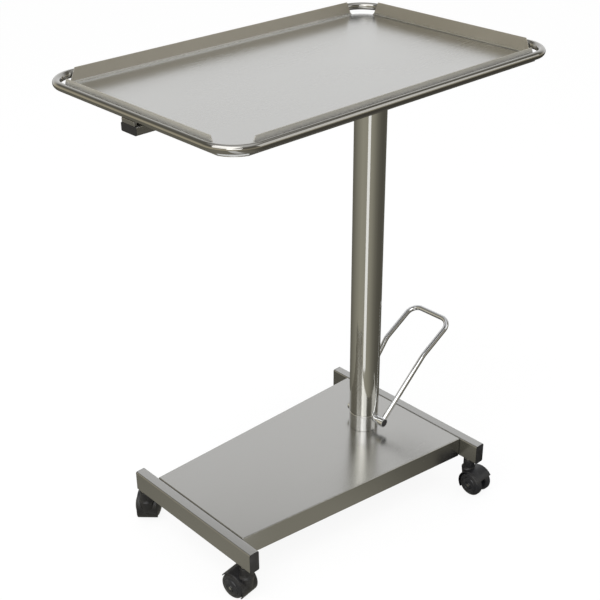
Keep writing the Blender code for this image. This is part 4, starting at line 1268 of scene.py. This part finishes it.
        # Height of each stop as a share of the dome, and its colour
        white = (1, 1, 1)
        cream, dim = look.wall, look.ceiling
        shadow = Vector(cream) * 0.7
        left = ((0, cream), (0.34, cream), (0.56, dim), (0.80, dim), (0.95, white))
        right = ((0, shadow), (0.26, shadow), (0.40, dim), (0.80, dim), (0.95, white))
        far = ((0, white), (0.66, white), (0.78, dim), (0.82, dim), (0.95, white))
        sides = [self.ramp(tree, height, stops) for stops in (left, right)]
        near = blend(share((-towards.y, towards.x, 0), -0.3, 0.3), *sides)
        both = blend(share(towards, -0.35, -0.8), near, self.ramp(tree, height, far))
        feed(tree, glow, {"Color": both})

    def ramp(self, tree, value, stops):
        """Colours at places from 0 to 1."""
        node = add_node(tree, "ValToRGB", {"Fac": value})
        elements = node.color_ramp.elements
        for place, _tint in stops[1:-1]:
            elements.new(place)
        for element, (place, tint) in zip(elements, stops):
            element.position = place
            element.color = (*tint, 1)
        return node.outputs["Color"]

    def lamps(self, look):
        target = Vector((0, 0, 0.5))
        # Name, power, size and place of each lamp
        soft = (
            ("main_lamp", look.lamp, 2.4, (-1.6, -0.4, 2.8)),
            ("fill_lamp", look.fill, 2.0, (1.8, -2.2, 2.2)),
        )
        for name, energy, size, place in soft:
            deselect()
            turn = (target - Vector(place)).to_track_quat("-Z", "Y").to_euler()
            bpy.ops.object.light_add(type="AREA", location=place, rotation=turn)
            lamp = bpy.context.object
            lamp.name = name
            lamp.data.energy = energy
            lamp.data.size = size

    def camera(self, scene):
        """The photograph's view: its place, angle, lens and the small offset of its frame."""
        deselect()
        bpy.ops.object.camera_add(location=CAMERA_PLACE, rotation=(CAMERA_TILT, 0, CAMERA_TURN))
        camera = bpy.context.object
        camera.name = "photo_camera"
        camera.data.sensor_width = 36
        camera.data.lens = CAMERA_LENS
        camera.data.shift_x, camera.data.shift_y = CAMERA_SHIFT
        scene.camera = camera


class TABLE_PT_panel(bpy.types.Panel):
    bl_label = "Instrument Table"
    bl_idname = "TABLE_PT_panel"
    bl_space_type = "VIEW_3D"
    bl_region_type = "UI"
    bl_category = "Table"

    def draw(self, context):
        for step in STEPS:
            self.layout.operator(step.bl_idname)


STEPS = (
    TABLE_OT_finishes,
    TABLE_OT_tray,
    TABLE_OT_tray_frame,
    TABLE_OT_carrier,
    TABLE_OT_column,
    TABLE_OT_base,
    TABLE_OT_pedal,
    TABLE_OT_castors,
    TABLE_OT_pump,
    TABLE_OT_inner_pieces,
    TABLE_OT_stage,
)
GROUPS = (TraySizes, ColumnSizes, BaseSizes, PedalSizes, CastorSizes, Finishes, StageLook, InstrumentTable)


def register():
    for group in GROUPS:
        bpy.utils.register_class(group)
    bpy.types.Scene.instrument_table = PointerProperty(type=InstrumentTable)
    for step in STEPS:
        bpy.utils.register_class(step)
    bpy.utils.register_class(TABLE_PT_panel)


def unregister():
    bpy.utils.unregister_class(TABLE_PT_panel)
    for step in reversed(STEPS):
        bpy.utils.unregister_class(step)
    del bpy.types.Scene.instrument_table
    for group in reversed(GROUPS):
        bpy.utils.unregister_class(group)


def main():
    register()
    for item in list(bpy.data.objects):
        if item.type in {"LIGHT", "CAMERA"} or item.name == "Cube":
            remove(item)
    for step in STEPS:
        family, name = step.bl_idname.split(".")
        getattr(getattr(bpy.ops, family), name)()


if __name__ == "__main__":
    main()
